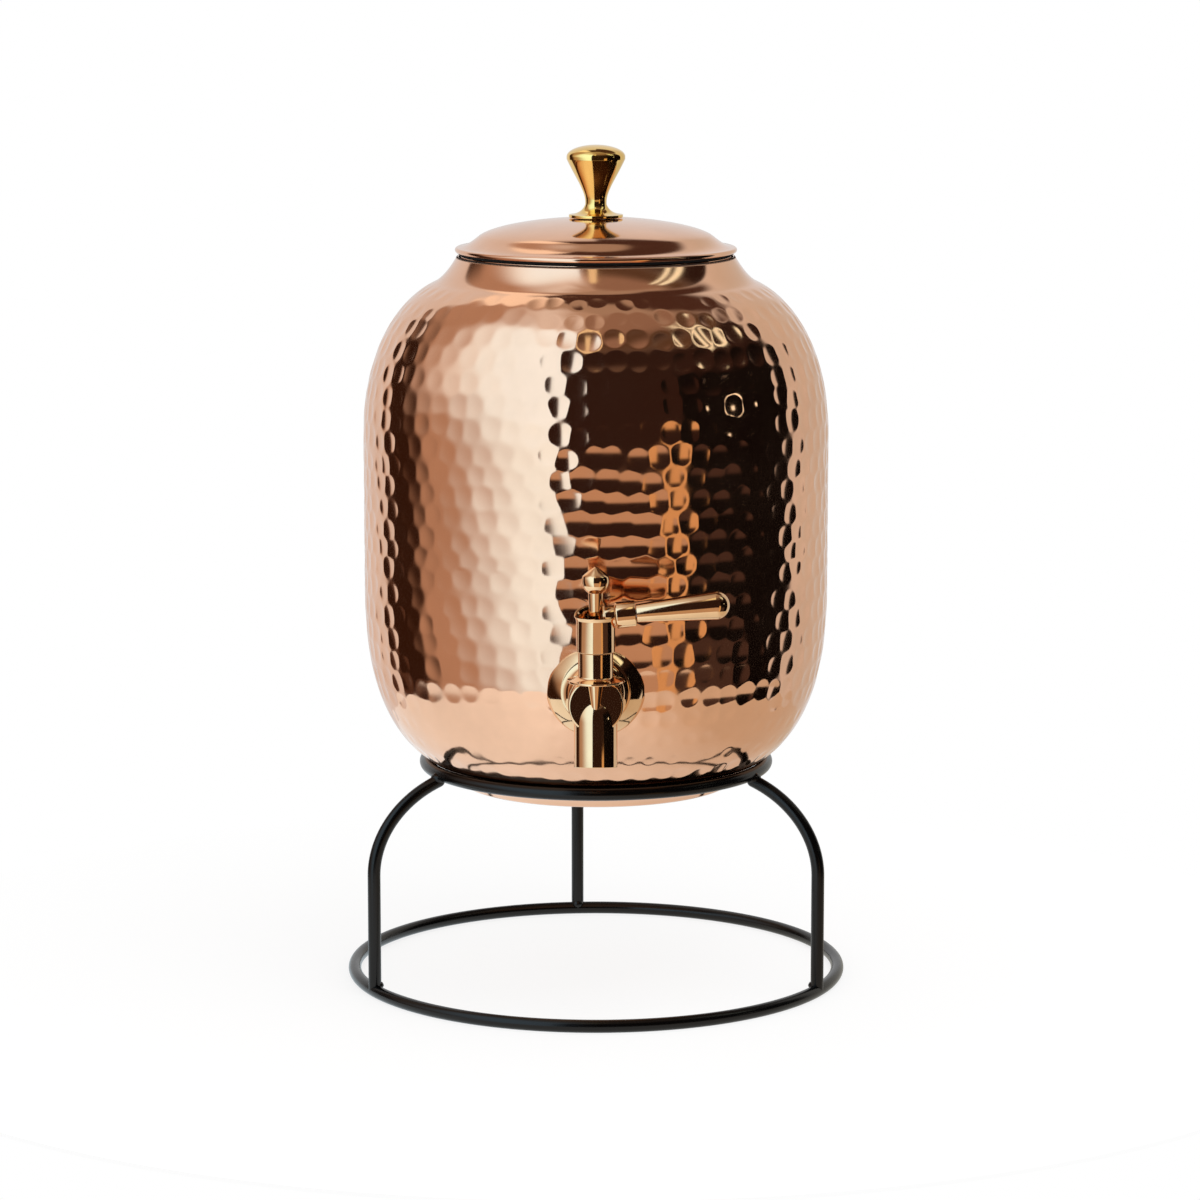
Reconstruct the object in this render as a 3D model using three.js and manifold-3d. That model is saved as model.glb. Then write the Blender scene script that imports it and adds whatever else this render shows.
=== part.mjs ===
// Copper water dispenser: a hammered tank with a lid and a lever tap, standing loose in a wire stand.
// Millimetres, +Z up, the tap towards -Y. The origin is on the floor, under the middle of the whole outline.
import * as THREE from 'three';
import { mergeVertices } from 'three/addons/utils/BufferGeometryUtils.js';
import Module from 'manifold-3d';

const wasm = await Module();
wasm.setup();

// Clearances, and how far a cutter runs past the face that it cuts.
const gap = 0.3;
const sealGap = 0.1;
const overrun = 1;

// Roundness of the turned and bent pieces, in counts.
const roundSegments = 36;
const baseRingSegments = 48;
const smallSegments = 24;
const rodSides = 8;
const sealSides = 6;
const legSteps = 16;
const cornerSteps = 6;
const domeSteps = 5;
const curveSteps = 4;
const ballSteps = 7;
const profileSamples = 24;

// Stand: three bent legs of round rod between a large ring on the floor and a small ring under the tank.
const rodRadius = 3.5;
const baseRingRadius = 134.4;
const topRingRadius = 94;
const topRingHeight = 119.5;
const restFlatDepth = 0.25;
const legBendRise = 49;
const legJoinDrop = 3.8;
const frontLegSpreadDeg = 127;
const backLegTurnDeg = 4.7;

// Tank: a base with a flat foot, a hammered shell with a rounded shoulder, and a flared neck, brazed together.
const tankRadius = 127;
const tankWall = 1.2;
const footRadius = 72;
const footRoundRun = 5;
const footRoundRise = 2.6;
const footConeRun = 13;
const footDrop = 4.5;
const baseDepth = 27;
const undersideCentreRadius = 47.1;
const undersideRise = 110.75;
const undersideExponent = 2.63;
const sideLength = 77.4;
const shoulderTuck = 7.4;
const shoulderRise = 87.75;
const shoulderExponent = 2.11;
const neckRun = 12;
const neckDepth = 10.4;
const mouthRadius = 75.6;
const neckPullShares = { run: 0.53, rise: 0.79 };
const footRoundShares = { run: 0.58, rise: 0.28 };

// Lid: a domed cover with a thick rolled rim, a ring that drops into the mouth, and a turned knob.
const lidRadius = 76.6;
const lidWall = 1.2;
const lidRimThickness = 4.1;
const lidRimWidth = 5;
const lidFlangeWidth = 8.8;
const lidFlangeRise = 1.5;
const lidStepWidth = 2.5;
const lidStepRise = 2;
const lidDomeRise = 12.5;
const lidDomeExponent = 2.1;
const lidLandRadius = 15.4;
const locatingRingFit = 0.8;
const locatingRingWall = 1;
const locatingRingDepth = 10;

// Knob on the lid, with the screw and washer that hold it.
const knobFootRadius = 14.7;
const knobFootThickness = 1.3;
const knobFlareRise = 5.5;
const knobWaistRadius = 5.8;
const knobWaistLength = 1.2;
const knobTrumpetRise = 23.2;
const knobCapRadius = 15.9;
const knobCapRise = 7.7;
const knobFlareShares = { run: 0.4, rise: 0.55 };
const knobTrumpetShares = { lowerRise: 0.26, upperRun: 0.53, upperRise: 0.56 };
const knobCapShare = 0.18;
const knobHoleDepth = 14;
const screwRadius = 2.2;
const screwHeadRadius = 4.6;
const screwHeadHeight = 2.6;
const screwTipClearance = 2;
const knobWasherRadius = 7.5;
const knobWasherThickness = 1;

// Tap, measured forward from the wall along its level axis and up from that axis.
const tapHeight = 74;
const tapReach = 40;
const shankRadius = 7.94;
const shankInnerLength = 24;
const passageRadius = 4.5;
const escutcheonRadius = 26.1;
const escutcheonDepth = 6.5;
const escutcheonWall = 1.2;
const escutcheonShoulderRun = 7.6;
const escutcheonSkirt = 15;
const bellRadius = 18.3;
const bellEdge = 1.1;
const bellDepth = 8.1;
const barrelRadius = 13.4;
const barrelNose = 11.6;
const chamberRadius = 9.05;
const chamberTop = 26.9;
const brimRadius = 14.8;
const brimHeight = 11.4;
const brimThickness = 1.1;
const brimSlope = 2;
const spoutRadius = 11.15;
const spoutWall = 1.8;
const spoutLength = 32.8;
const spoutLeanDeg = 9.6;
const throatRadius = 5;
const throatLength = 15;
const throatStart = 4;
const valveRadius = 6.6;
const valveFloor = 7.3;

// Seals, washer and nut that hold the tap in the wall, and the ring that keeps the valve plug down.
const gasketRadius = 13.4;
const innerGasketReach = 6.5;
const innerWasherRadius = 12.5;
const innerWasherThickness = 1.2;
const nutRadius = 12.7;
const nutThickness = 7;
const nutSides = 6;
const glandRadius = 7.9;
const glandSeat = 20.3;
const glandSink = 0.6;
const glideWasherThickness = 0.8;
const glideWasherInset = 0.6;

// Valve plug, with its side port and its two seals.
const plugHollowRadius = 3.9;
const plugHollowTop = 4.5;
const portRadius = 3.4;
const stemRadius = 4;
const stemTipRadius = 2.2;
const stemTipLength = 7;
const sealSectionRadius = 0.7;
const lowerSealHeight = -5.2;
const upperSealHeight = 7;

// Hub, ball finial and lever, which turn with the plug.
const hubRadius = 10.05;
const hubWall = 1.3;
const hubFloor = 39.5;
const hubFloorThickness = 0.6;
const hubFrontHeight = 18.2;
const hubRimRise = 4.1;
const hubEdge = 0.4;
const bossRadius = 5.4;
const bossStart = 4.8;
const finialStemRadius = 3.2;
const finialNeckRadius = 3.9;
const finialBallRadius = 7.15;
const finialBallHeight = 63.6;
const finialPoint = 0.5;
const finialCrownDeg = 75;
const leverHeight = 44.7;
const leverTiltDeg = 6;
const studRadius = 2;
const studInnerEnd = 5;
const studInHandle = 18;
const collarRadius = 6.8;
const collarLength = 10.2;
const collarEdge = 0.7;
const handleRootRadius = 4.65;
const handleTipRadius = 7.5;
const handleTipStartDeg = 5;
const handleLength = 48;
const handleEdge = 0.5;

// Finishes.
function finish(color, roughness, metalness) {
  return new THREE.MeshStandardMaterial({ color, roughness, metalness });
}
const polishedCopper = () => finish(0xd89878, 0.12, 1);
const blackSteel = () => finish(0x17171a, 0.45, 0.6);
const goldBrass = () => finish(0xd9a94e, 0.12, 1);
const plainBrass = () => finish(0xb08d4a, 0.35, 1);
const zincSteel = () => finish(0xa9acb0, 0.35, 1);
const darkRubber = () => finish(0x242424, 0.85, 0);
const whitePlastic = () => finish(0xe9e7e0, 0.5, 0);

const radians = THREE.MathUtils.degToRad;

// A closed geometry as a solid that can be cut and joined.
function toSolid(geometry) {
  const bare = geometry.clone();
  bare.deleteAttribute('normal');
  bare.deleteAttribute('uv');
  const merged = mergeVertices(bare);
  const corners = merged.index.array;
  const triVerts = [];
  for (let i = 0; i < corners.length; i += 3) {
    const [a, b, c] = corners.slice(i, i + 3);
    if (a !== b && b !== c && c !== a) triVerts.push(a, b, c);
  }
  return new wasm.Manifold(new wasm.Mesh({
    numProp: 3,
    vertProperties: merged.attributes.position.array,
    triVerts: new Uint32Array(triVerts),
  }));
}

// A solid as one named mesh.
function makeMesh(name, solid, material) {
  const { vertProperties, triVerts } = solid.getMesh();
  const geometry = new THREE.BufferGeometry();
  geometry.setAttribute('position', new THREE.BufferAttribute(vertProperties, 3));
  geometry.setIndex(new THREE.BufferAttribute(triVerts, 1));
  geometry.computeVertexNormals();
  const mesh = new THREE.Mesh(geometry, material);
  mesh.name = name;
  return mesh;
}

// A section of [radius, height] pairs turned about the Y axis. It starts and ends on the axis, or closes on itself.
function turn(section, segments) {
  const points = section.map(([radius, height]) => new THREE.Vector2(radius, height));
  if (THREE.ShapeUtils.area(points) < 0) points.reverse();
  const onAxis = points[0].x === 0 && points[points.length - 1].x === 0;
  if (!onAxis) points.push(points[0].clone());
  return new THREE.LatheGeometry(points, segments);
}
const turnUp = (section, segments) => toSolid(turn(section, segments).rotateX(Math.PI / 2));
const turnForward = (section, segments) => toSolid(turn(section, segments).rotateX(Math.PI));

// The section of a plain round bar and of a plain round ring.
const barSection = (radius, from, to) => [[0, from], [radius, from], [radius, to], [0, to]];
const ringSection = (inner, outer, from, to) => [[inner, from], [outer, from], [outer, to], [inner, to]];

// Points of an arc with its own radii along the two axes.
function arcPoints(centre, run, rise, fromDeg, toDeg, steps) {
  return Array.from({ length: steps + 1 }, (_, i) => {
    const angle = radians(fromDeg + ((toDeg - fromDeg) * i) / steps);
    return [centre[0] + run * Math.cos(angle), centre[1] + rise * Math.sin(angle)];
  });
}

// Points of a rounded corner, fuller than an ellipse, from its side (radius centre + run) in to a stated radius.
function cornerPoints(centre, run, rise, exponent, endRadius, steps) {
  const power = 2 / exponent;
  const share = (endRadius - centre[0]) / run;
  const endAngle = Math.acos(share ** (1 / power));
  return Array.from({ length: steps + 1 }, (_, i) => {
    const angle = (endAngle * i) / steps;
    return [centre[0] + run * Math.cos(angle) ** power, centre[1] + rise * Math.sin(angle) ** power];
  });
}

// Points of a smooth curve pulled towards its control points.
function pulledPoints(controls, steps) {
  const vectors = controls.map(([x, y]) => new THREE.Vector2(x, y));
  const Curve = vectors.length === 4 ? THREE.CubicBezierCurve : THREE.QuadraticBezierCurve;
  return new Curve(...vectors).getPoints(steps).map((point) => [point.x, point.y]);
}

// An open outline moved sideways by a distance, to the right of its direction.
function offsetOutline(outline, distance) {
  const normals = outline.slice(1).map(([x, y], i) => {
    const [fromX, fromY] = outline[i];
    const length = Math.hypot(x - fromX, y - fromY);
    return [(y - fromY) / length, (fromX - x) / length];
  });
  return outline.map(([x, y], i) => {
    const before = normals[Math.max(i - 1, 0)];
    const after = normals[Math.min(i, normals.length - 1)];
    const sum = [before[0] + after[0], before[1] + after[1]];
    const stretch = (2 * distance) / (sum[0] ** 2 + sum[1] ** 2);
    return [x + sum[0] * stretch, y + sum[1] * stretch];
  });
}

// Tank outline, from the middle of its foot up to the outer edge of its mouth.
const undersideCentreHeight = footDrop + undersideRise;
const shoulderCentreHeight = undersideCentreHeight + sideLength;
const mouthHeight = shoulderCentreHeight + shoulderRise + neckDepth;
const footConeRadius = footRadius + footRoundRun + footConeRun;
const shoulderCentreRadius = mouthRadius - shoulderTuck;

function tankOutline() {
  const foot = [
    [0, 0],
    [footRadius, 0],
    [footRadius + footRoundRun * footRoundShares.run, footRoundRise * footRoundShares.rise],
    [footRadius + footRoundRun, footRoundRise],
  ];
  const underside = cornerPoints(
    [undersideCentreRadius, undersideCentreHeight],
    tankRadius - undersideCentreRadius,
    -undersideRise,
    undersideExponent,
    footConeRadius,
    cornerSteps,
  ).reverse();
  const shoulder = cornerPoints(
    [shoulderCentreRadius, shoulderCentreHeight],
    tankRadius - shoulderCentreRadius,
    shoulderRise,
    shoulderExponent,
    mouthRadius + neckRun,
    cornerSteps,
  );
  const neckFoot = shoulder[shoulder.length - 1];
  const neckRise = mouthHeight - neckFoot[1];
  const neck = pulledPoints([
    neckFoot,
    [mouthRadius + neckRun * neckPullShares.run, neckFoot[1] + neckRise * (1 - neckPullShares.rise)],
    [mouthRadius, mouthHeight],
  ], curveSteps);
  return [...foot, ...underside, ...shoulder, ...neck.slice(1)];
}

const outline = tankOutline();
const neckFootHeight = outline[outline.length - 1 - curveSteps][1];

// Radius of the tank's outer side at a height above its foot.
function tankRadiusAt(height) {
  const above = outline.findIndex(([, z], i) => i > 1 && z > height);
  const [lowRadius, lowHeight] = outline[above - 1];
  const [highRadius, highHeight] = outline[above];
  return lowRadius + ((highRadius - lowRadius) * (height - lowHeight)) / (highHeight - lowHeight);
}

// Height at which the tank's foot comes to rest when its underside lies in the top ring.
function seatedFootHeight() {
  const clearance = rodRadius + gap;
  const samples = outline.slice(1).flatMap(([radius, height], i) => {
    const [fromRadius, fromHeight] = outline[i];
    return Array.from({ length: profileSamples }, (_, k) => [
      fromRadius + ((radius - fromRadius) * k) / profileSamples,
      fromHeight + ((height - fromHeight) * k) / profileSamples,
    ]);
  });
  const needed = samples
    .filter(([radius, height]) => Math.abs(radius - topRingRadius) < clearance && height < undersideCentreHeight)
    .map(([radius, height]) => Math.sqrt(clearance ** 2 - (radius - topRingRadius) ** 2) - height);
  return topRingHeight + Math.max(...needed);
}

const footHeight = seatedFootHeight();
const wallReach = tankRadiusAt(tapHeight);
const spoutLean = radians(spoutLeanDeg);
const frontReach = wallReach + tapReach + spoutLength * Math.sin(spoutLean) + spoutRadius * Math.cos(spoutLean);

// Stand.

// Section of a ring of rod, in [radius, height] pairs, with an optional flat ground on its underside.
function rodRingSection(ringRadius, height, radius, flatDepth) {
  const flatAngle = THREE.MathUtils.radToDeg(Math.acos((radius - flatDepth) / radius));
  return arcPoints([ringRadius, height], radius, radius, flatAngle - 90, 270 - flatAngle, rodSides);
}

const baseRingHeight = rodRadius - restFlatDepth;
const baseRingSection = rodRingSection(baseRingRadius, baseRingHeight, rodRadius, restFlatDepth);
const backReach = Math.max(...baseRingSection.map(([radius]) => radius));

function baseRing() {
  return makeMesh('stand_base_ring', turnUp(baseRingSection, baseRingSegments), blackSteel());
}

const topRingSection = (radius) => rodRingSection(topRingRadius, topRingHeight, radius, 0).slice(1);

function topRing() {
  return makeMesh('stand_top_ring', turnUp(topRingSection(rodRadius), roundSegments), blackSteel());
}

// Centre line of a leg in its own upright plane: straight up, then a quarter turn in to the top ring.
class LegCurve extends THREE.Curve {
  getPoint(share, target = new THREE.Vector3()) {
    const bendRun = baseRingRadius - topRingRadius;
    const bendHeight = topRingHeight - legJoinDrop - legBendRise;
    const straight = bendHeight - baseRingHeight;
    const straightShare = straight / (straight + Math.hypot(bendRun, legBendRise));
    if (share < straightShare) {
      return target.set(baseRingRadius, 0, baseRingHeight + (straight * share) / straightShare);
    }
    const angle = ((share - straightShare) / (1 - straightShare)) * (Math.PI / 2);
    return target.set(
      baseRingRadius - bendRun * (1 - Math.cos(angle)),
      0,
      bendHeight + legBendRise * Math.sin(angle),
    );
  }
}

// A leg, its ends hollowed to fit round the two rings.
function leg(name, azimuthDeg) {
  const corners = arcPoints([0, 0], rodRadius, rodRadius, 0, 360, rodSides).slice(1);
  const shape = new THREE.Shape(corners.map(([x, y]) => new THREE.Vector2(x, y)));
  const rod = new THREE.ExtrudeGeometry(shape, { steps: legSteps, extrudePath: new LegCurve() });
  const baseCope = turnUp(rodRingSection(baseRingRadius, baseRingHeight, rodRadius + gap, 0).slice(1), baseRingSegments);
  const topCope = turnUp(topRingSection(rodRadius + gap), roundSegments);
  const angle = radians(azimuthDeg);
  const turned = toSolid(rod.rotateZ(angle)).subtract(baseCope).subtract(topCope);
  const pieces = turned.decompose().sort((one, other) => other.volume() - one.volume());
  return makeMesh(name, pieces[0], blackSteel());
}

function stand() {
  const group = new THREE.Group();
  const halfSpread = frontLegSpreadDeg / 2;
  group.add(
    baseRing(),
    topRing(),
    leg('stand_leg_left', -90 - halfSpread),
    leg('stand_leg_right', -90 + halfSpread),
    leg('stand_leg_back', 90 + backLegTurnDeg),
  );
  return group;
}

// Tank, in its own frame: the middle of its foot is the origin.

const upward = [0, 0, 1];
const downward = [0, 0, -1];
const innerOutline = offsetOutline(outline, -tankWall);
innerOutline[0][0] = 0;
innerOutline[innerOutline.length - 1] = [mouthRadius - tankWall, mouthHeight];

// Two level seams part the wall: one below the tap, and one in the crease between the shoulder and the neck.
function tankWalls() {
  const walls = turnUp([...outline, ...[...innerOutline].reverse()], roundSegments);
  const base = walls.trimByPlane(downward, -baseDepth);
  const neck = walls.trimByPlane(upward, neckFootHeight + gap);
  const shell = walls.trimByPlane(upward, baseDepth + gap).trimByPlane(downward, -neckFootHeight);
  const hole = turnForward(barSection(shankRadius + gap, 0, tankRadius + overrun), smallSegments);
  return [
    makeMesh('tank_base', base, polishedCopper()),
    makeMesh('tank_shell', shell.subtract(hole.translate([0, 0, tapHeight])), polishedCopper()),
    makeMesh('tank_neck', neck, polishedCopper()),
  ];
}

// The space outside or inside the wall, as a solid in the tap's frame, for trimming what lies against it.
function wallSolid(sourceOutline, distance) {
  const moved = offsetOutline(sourceOutline, distance);
  moved[0][0] = 0;
  const closed = [...moved, [0, moved[moved.length - 1][1]]];
  return turnUp(closed, roundSegments).translate([0, wallReach, -tapHeight]);
}

// Tap, in its own frame: the origin is on the wall's outer side, and each piece is turned about the tap's axes.

const valveAt = (solid) => solid.translate([0, -tapReach, 0]);
const turnValve = (section, segments = smallSegments) => valveAt(turnUp(section, segments));

// A section turned about the spout's leaning axis, measured down from the tap's own axis.
function turnSpout(section) {
  const geometry = turn(section, smallSegments).rotateX(-Math.PI / 2 - spoutLean);
  return valveAt(toSolid(geometry));
}

const bellBack = escutcheonDepth + gap;
const bellFront = bellBack + bellEdge;
const barrelStart = bellFront + bellDepth;

function tapBody() {
  const along = turnForward([
    [0, -shankInnerLength],
    [shankRadius, -shankInnerLength],
    [shankRadius, bellBack],
    [bellRadius, bellBack],
    ...arcPoints([bellRadius, barrelStart], bellRadius - barrelRadius, bellDepth, 270, 180, curveSteps),
    ...arcPoints([0, tapReach], barrelRadius, barrelNose, 0, 90, curveSteps).slice(0, -1),
    [0, tapReach + barrelNose],
  ], smallSegments);
  const brimTop = brimHeight + brimThickness + brimSlope;
  const chamber = turnValve([
    [0, 0],
    [chamberRadius, 0],
    [chamberRadius, brimHeight],
    [brimRadius, brimHeight],
    [brimRadius, brimHeight + brimThickness],
    [chamberRadius, brimTop],
    [chamberRadius, chamberTop],
    [0, chamberTop],
  ]);
  const spout = turnSpout(barSection(spoutRadius, 0, spoutLength));
  const passage = turnForward(barSection(passageRadius, -shankInnerLength - overrun, tapReach), smallSegments);
  const valveBore = turnValve(barSection(valveRadius, -valveFloor, chamberTop + overrun));
  const glandBore = turnValve(barSection(glandRadius, glandSeat, chamberTop + overrun));
  const throat = turnSpout(barSection(throatRadius, throatStart, throatLength + overrun));
  const spoutBore = turnSpout(barSection(spoutRadius - spoutWall, throatLength, spoutLength + overrun));
  const body = along.add(chamber).add(spout)
    .subtract(passage).subtract(valveBore).subtract(glandBore).subtract(throat).subtract(spoutBore);
  return makeMesh('tap_body', body, polishedCopper());
}

function tapEscutcheon() {
  const shoulder = arcPoints(
    [escutcheonRadius - escutcheonShoulderRun, 0],
    escutcheonShoulderRun,
    escutcheonDepth,
    0,
    90,
    curveSteps,
  );
  const front = [[escutcheonRadius, -escutcheonSkirt], ...shoulder, [shankRadius + gap, escutcheonDepth]];
  const back = offsetOutline(front, -escutcheonWall);
  back[back.length - 1] = [shankRadius + gap, escutcheonDepth - escutcheonWall];
  const cup = turnForward([...front, ...back.reverse()], smallSegments);
  return makeMesh('tap_escutcheon', cup.subtract(wallSolid(outline, gap)), polishedCopper());
}

function tapGaskets() {
  const boreRadius = shankRadius + gap;
  const front = escutcheonDepth - escutcheonWall - gap;
  const outer = turnForward(ringSection(boreRadius, gasketRadius, -escutcheonSkirt, front), smallSegments);
  const inner = turnForward(ringSection(boreRadius, gasketRadius, -innerGasketReach, escutcheonDepth), smallSegments);
  return [
    makeMesh('tap_outer_gasket', outer.subtract(wallSolid(outline, gap)), darkRubber()),
    makeMesh('tap_inner_gasket', inner.intersect(wallSolid(innerOutline, -gap)), darkRubber()),
  ];
}

function tapWasherAndNut() {
  const boreRadius = shankRadius + gap;
  const washerFront = -innerGasketReach - gap;
  const washerBack = washerFront - innerWasherThickness;
  const nutFront = washerBack - gap;
  const nutBack = nutFront - nutThickness;
  const washer = turnForward(ringSection(boreRadius, innerWasherRadius, washerBack, washerFront), smallSegments);
  const hexagon = turnForward(barSection(nutRadius, nutBack, nutFront), nutSides);
  const hole = turnForward(barSection(boreRadius, nutBack - overrun, nutFront + overrun), smallSegments);
  return [
    makeMesh('tap_inner_washer', washer, zincSteel()),
    makeMesh('tap_shank_nut', hexagon.subtract(hole), plainBrass()),
  ];
}

const glandBottom = glandSeat + gap;
const hubBottom = chamberTop + gap;
const glideTop = hubBottom + glideWasherThickness;
const glideRadius = chamberRadius - glideWasherInset;

function tapGlandRing() {
  const section = ringSection(stemRadius + gap, glandRadius - gap, glandBottom, chamberTop - glandSink);
  return makeMesh('tap_gland_ring', turnValve(section), plainBrass());
}

function tapGlideWasher() {
  const section = ringSection(stemRadius + gap, glideRadius, hubBottom, glideTop);
  return makeMesh('tap_glide_washer', turnValve(section), whitePlastic());
}

// Tap handle: everything that turns about the valve's upright axis.

const plugRadius = valveRadius - gap;
const plugBottom = gap - valveFloor;
const sealRadius = valveRadius - sealGap - sealSectionRadius;
const grooveRadius = sealRadius - sealSectionRadius - gap;
const grooveHalf = sealSectionRadius + gap;
const stemTop = hubFloor - hubFloorThickness;

function plugGroove(height) {
  return [
    [plugRadius, height - grooveHalf],
    [grooveRadius, height - grooveHalf],
    [grooveRadius, height + grooveHalf],
    [plugRadius, height + grooveHalf],
  ];
}

function tapPlug() {
  const plugTop = glandBottom - gap;
  const turned = turnUp([
    [0, plugHollowTop],
    [plugHollowRadius, plugHollowTop],
    [plugHollowRadius, plugBottom],
    [plugRadius, plugBottom],
    ...plugGroove(lowerSealHeight),
    ...plugGroove(upperSealHeight),
    [plugRadius, plugTop],
    [stemRadius, plugTop],
    [stemRadius, stemTop],
    [stemTipRadius, stemTop],
    [stemTipRadius, stemTop + stemTipLength],
    [0, stemTop + stemTipLength],
  ], smallSegments);
  const port = toSolid(turn(barSection(portRadius, 0, plugRadius + overrun), smallSegments).rotateZ(Math.PI / 2));
  return makeMesh('tap_plug', valveAt(turned.subtract(port)), plainBrass());
}

function plugSeal(name, height) {
  const section = arcPoints([sealRadius, height], sealSectionRadius, sealSectionRadius, 0, 360, sealSides).slice(1);
  return makeMesh(name, turnValve(section), darkRubber());
}

// The lever's own line: it starts on the valve's axis and rises outward to the right.
const leverTilt = radians(leverTiltDeg);
const collarStart = (hubRadius + gap) / Math.cos(leverTilt);
const collarEnd = collarStart + collarLength;
const handleStart = collarEnd + gap;

// A section turned about the lever's line, placed in the tap's frame.
function turnLever(section) {
  const geometry = turn(section, smallSegments).rotateZ(-Math.PI / 2).rotateY(-leverTilt);
  return toSolid(geometry).translate([0, -tapReach, leverHeight]);
}

// What the hub's raked mouth leaves out: flat across the front half, rising to the back.
function mouthCutter(top) {
  const front = hubBottom + hubFrontHeight;
  const reach = hubRadius + overrun;
  const slope = hubRimRise / hubRadius;
  const shape = new THREE.Shape([
    new THREE.Vector2(-reach, front),
    new THREE.Vector2(0, front),
    new THREE.Vector2(reach, front + slope * reach),
    new THREE.Vector2(reach, top),
    new THREE.Vector2(-reach, top),
  ]);
  const wedge = new THREE.ExtrudeGeometry(shape, { depth: 2 * reach, bevelEnabled: false });
  return toSolid(wedge.translate(0, 0, -reach).rotateX(Math.PI / 2).rotateZ(Math.PI / 2));
}

function tapHub() {
  const hubTop = hubBottom + hubFrontHeight + hubRimRise;
  const innerRadius = hubRadius - hubWall;
  const cup = turnUp([
    [stemRadius + gap, glideTop + gap],
    [glideRadius + gap, glideTop + gap],
    [glideRadius + gap, hubBottom],
    [hubRadius - hubEdge, hubBottom],
    [hubRadius, hubBottom + hubEdge],
    [hubRadius, hubTop],
    [innerRadius, hubTop],
    [innerRadius, hubFloor],
    [stemRadius + gap, hubFloor],
  ], smallSegments).subtract(mouthCutter(hubTop + overrun));
  const boss = turnLever(barSection(bossRadius, bossStart, collarStart - gap));
  const studBore = turnLever(barSection(studRadius + gap, 0, collarEnd));
  const collarRoom = turnLever(barSection(collarRadius + gap, collarStart - gap, collarEnd));
  const hub = valveAt(cup).add(boss).subtract(studBore).subtract(collarRoom);
  return makeMesh('tap_hub', hub, polishedCopper());
}

function tapFinial() {
  const bottom = hubFloor + gap;
  const holeTop = stemTop + stemTipLength + gap;
  const neckAngle = THREE.MathUtils.radToDeg(Math.acos(finialNeckRadius / finialBallRadius));
  const ball = arcPoints(
    [0, finialBallHeight],
    finialBallRadius,
    finialBallRadius,
    -neckAngle,
    finialCrownDeg,
    ballSteps,
  );
  const section = [
    [0, holeTop],
    [stemTipRadius + gap, holeTop],
    [stemTipRadius + gap, bottom],
    [finialStemRadius, bottom],
    ...ball,
    [0, finialBallHeight + finialBallRadius + finialPoint],
  ];
  return makeMesh('tap_finial', turnValve(section), polishedCopper());
}

function tapLever() {
  const boreRadius = studRadius + gap;
  const stud = barSection(studRadius, studInnerEnd, handleStart + studInHandle);
  const collar = [
    [boreRadius, collarStart],
    [collarRadius - collarEdge, collarStart],
    [collarRadius, collarStart + collarEdge],
    [collarRadius, collarEnd - collarEdge],
    [collarRadius - collarEdge, collarEnd],
    [boreRadius, collarEnd],
  ];
  const boreEnd = handleStart + studInHandle + gap;
  const tipCentre = [0, handleStart + handleLength - handleTipRadius];
  const handle = [
    [0, boreEnd],
    [boreRadius, boreEnd],
    [boreRadius, handleStart],
    [handleRootRadius - handleEdge, handleStart],
    [handleRootRadius, handleStart + handleEdge],
    ...arcPoints(tipCentre, handleTipRadius, handleTipRadius, handleTipStartDeg, 90, ballSteps).slice(0, -1),
    [0, handleStart + handleLength],
  ];
  return [
    makeMesh('tap_lever_stud', turnLever(stud), zincSteel()),
    makeMesh('tap_lever_collar', turnLever(collar), polishedCopper()),
    makeMesh('tap_lever_handle', turnLever(handle), polishedCopper()),
  ];
}

function tap() {
  const group = new THREE.Group();
  group.position.set(0, -wallReach, tapHeight);
  group.add(
    tapBody(),
    tapEscutcheon(),
    ...tapGaskets(),
    ...tapWasherAndNut(),
    tapGlandRing(),
    tapGlideWasher(),
    tapPlug(),
    plugSeal('tap_plug_seal_upper', upperSealHeight),
    plugSeal('tap_plug_seal_lower', lowerSealHeight),
    tapHub(),
    tapFinial(),
    ...tapLever(),
  );
  return group;
}

// Lid, in its own frame: the origin is in the plane of its rim's underside.

const lidFlangeRadius = lidRadius - lidFlangeWidth;
const lidDomeRadius = lidFlangeRadius - lidStepWidth;
const lidDomeFoot = lidRimThickness + lidFlangeRise + lidStepRise;
const lidTop = lidDomeFoot + lidDomeRise;

function lidCover() {
  const dome = cornerPoints(
    [0, lidDomeFoot],
    lidDomeRadius,
    lidDomeRise,
    lidDomeExponent,
    lidLandRadius,
    domeSteps,
  ).reverse();
  const rimRadius = lidRimThickness / 2;
  const top = [
    [screwRadius + gap, lidTop],
    [lidLandRadius, lidTop],
    ...dome.slice(1),
    [lidFlangeRadius, lidRimThickness + lidFlangeRise],
    [lidRadius - lidRimWidth, lidRimThickness],
  ];
  const rim = arcPoints([lidRadius - rimRadius, rimRadius], rimRadius, rimRadius, 90, -90, curveSteps);
  const under = offsetOutline(top, lidWall);
  under[0][0] = screwRadius + gap;
  const section = [...top, ...rim, [lidRadius - lidRimWidth, 0], ...under.reverse()];
  return makeMesh('lid_cover', turnUp(section, roundSegments), polishedCopper());
}

function lidLocatingRing() {
  const outer = mouthRadius - tankWall - locatingRingFit;
  const section = ringSection(outer - locatingRingWall, outer, -gap - locatingRingDepth, -gap);
  return makeMesh('lid_locating_ring', turnUp(section, roundSegments), polishedCopper());
}

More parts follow.
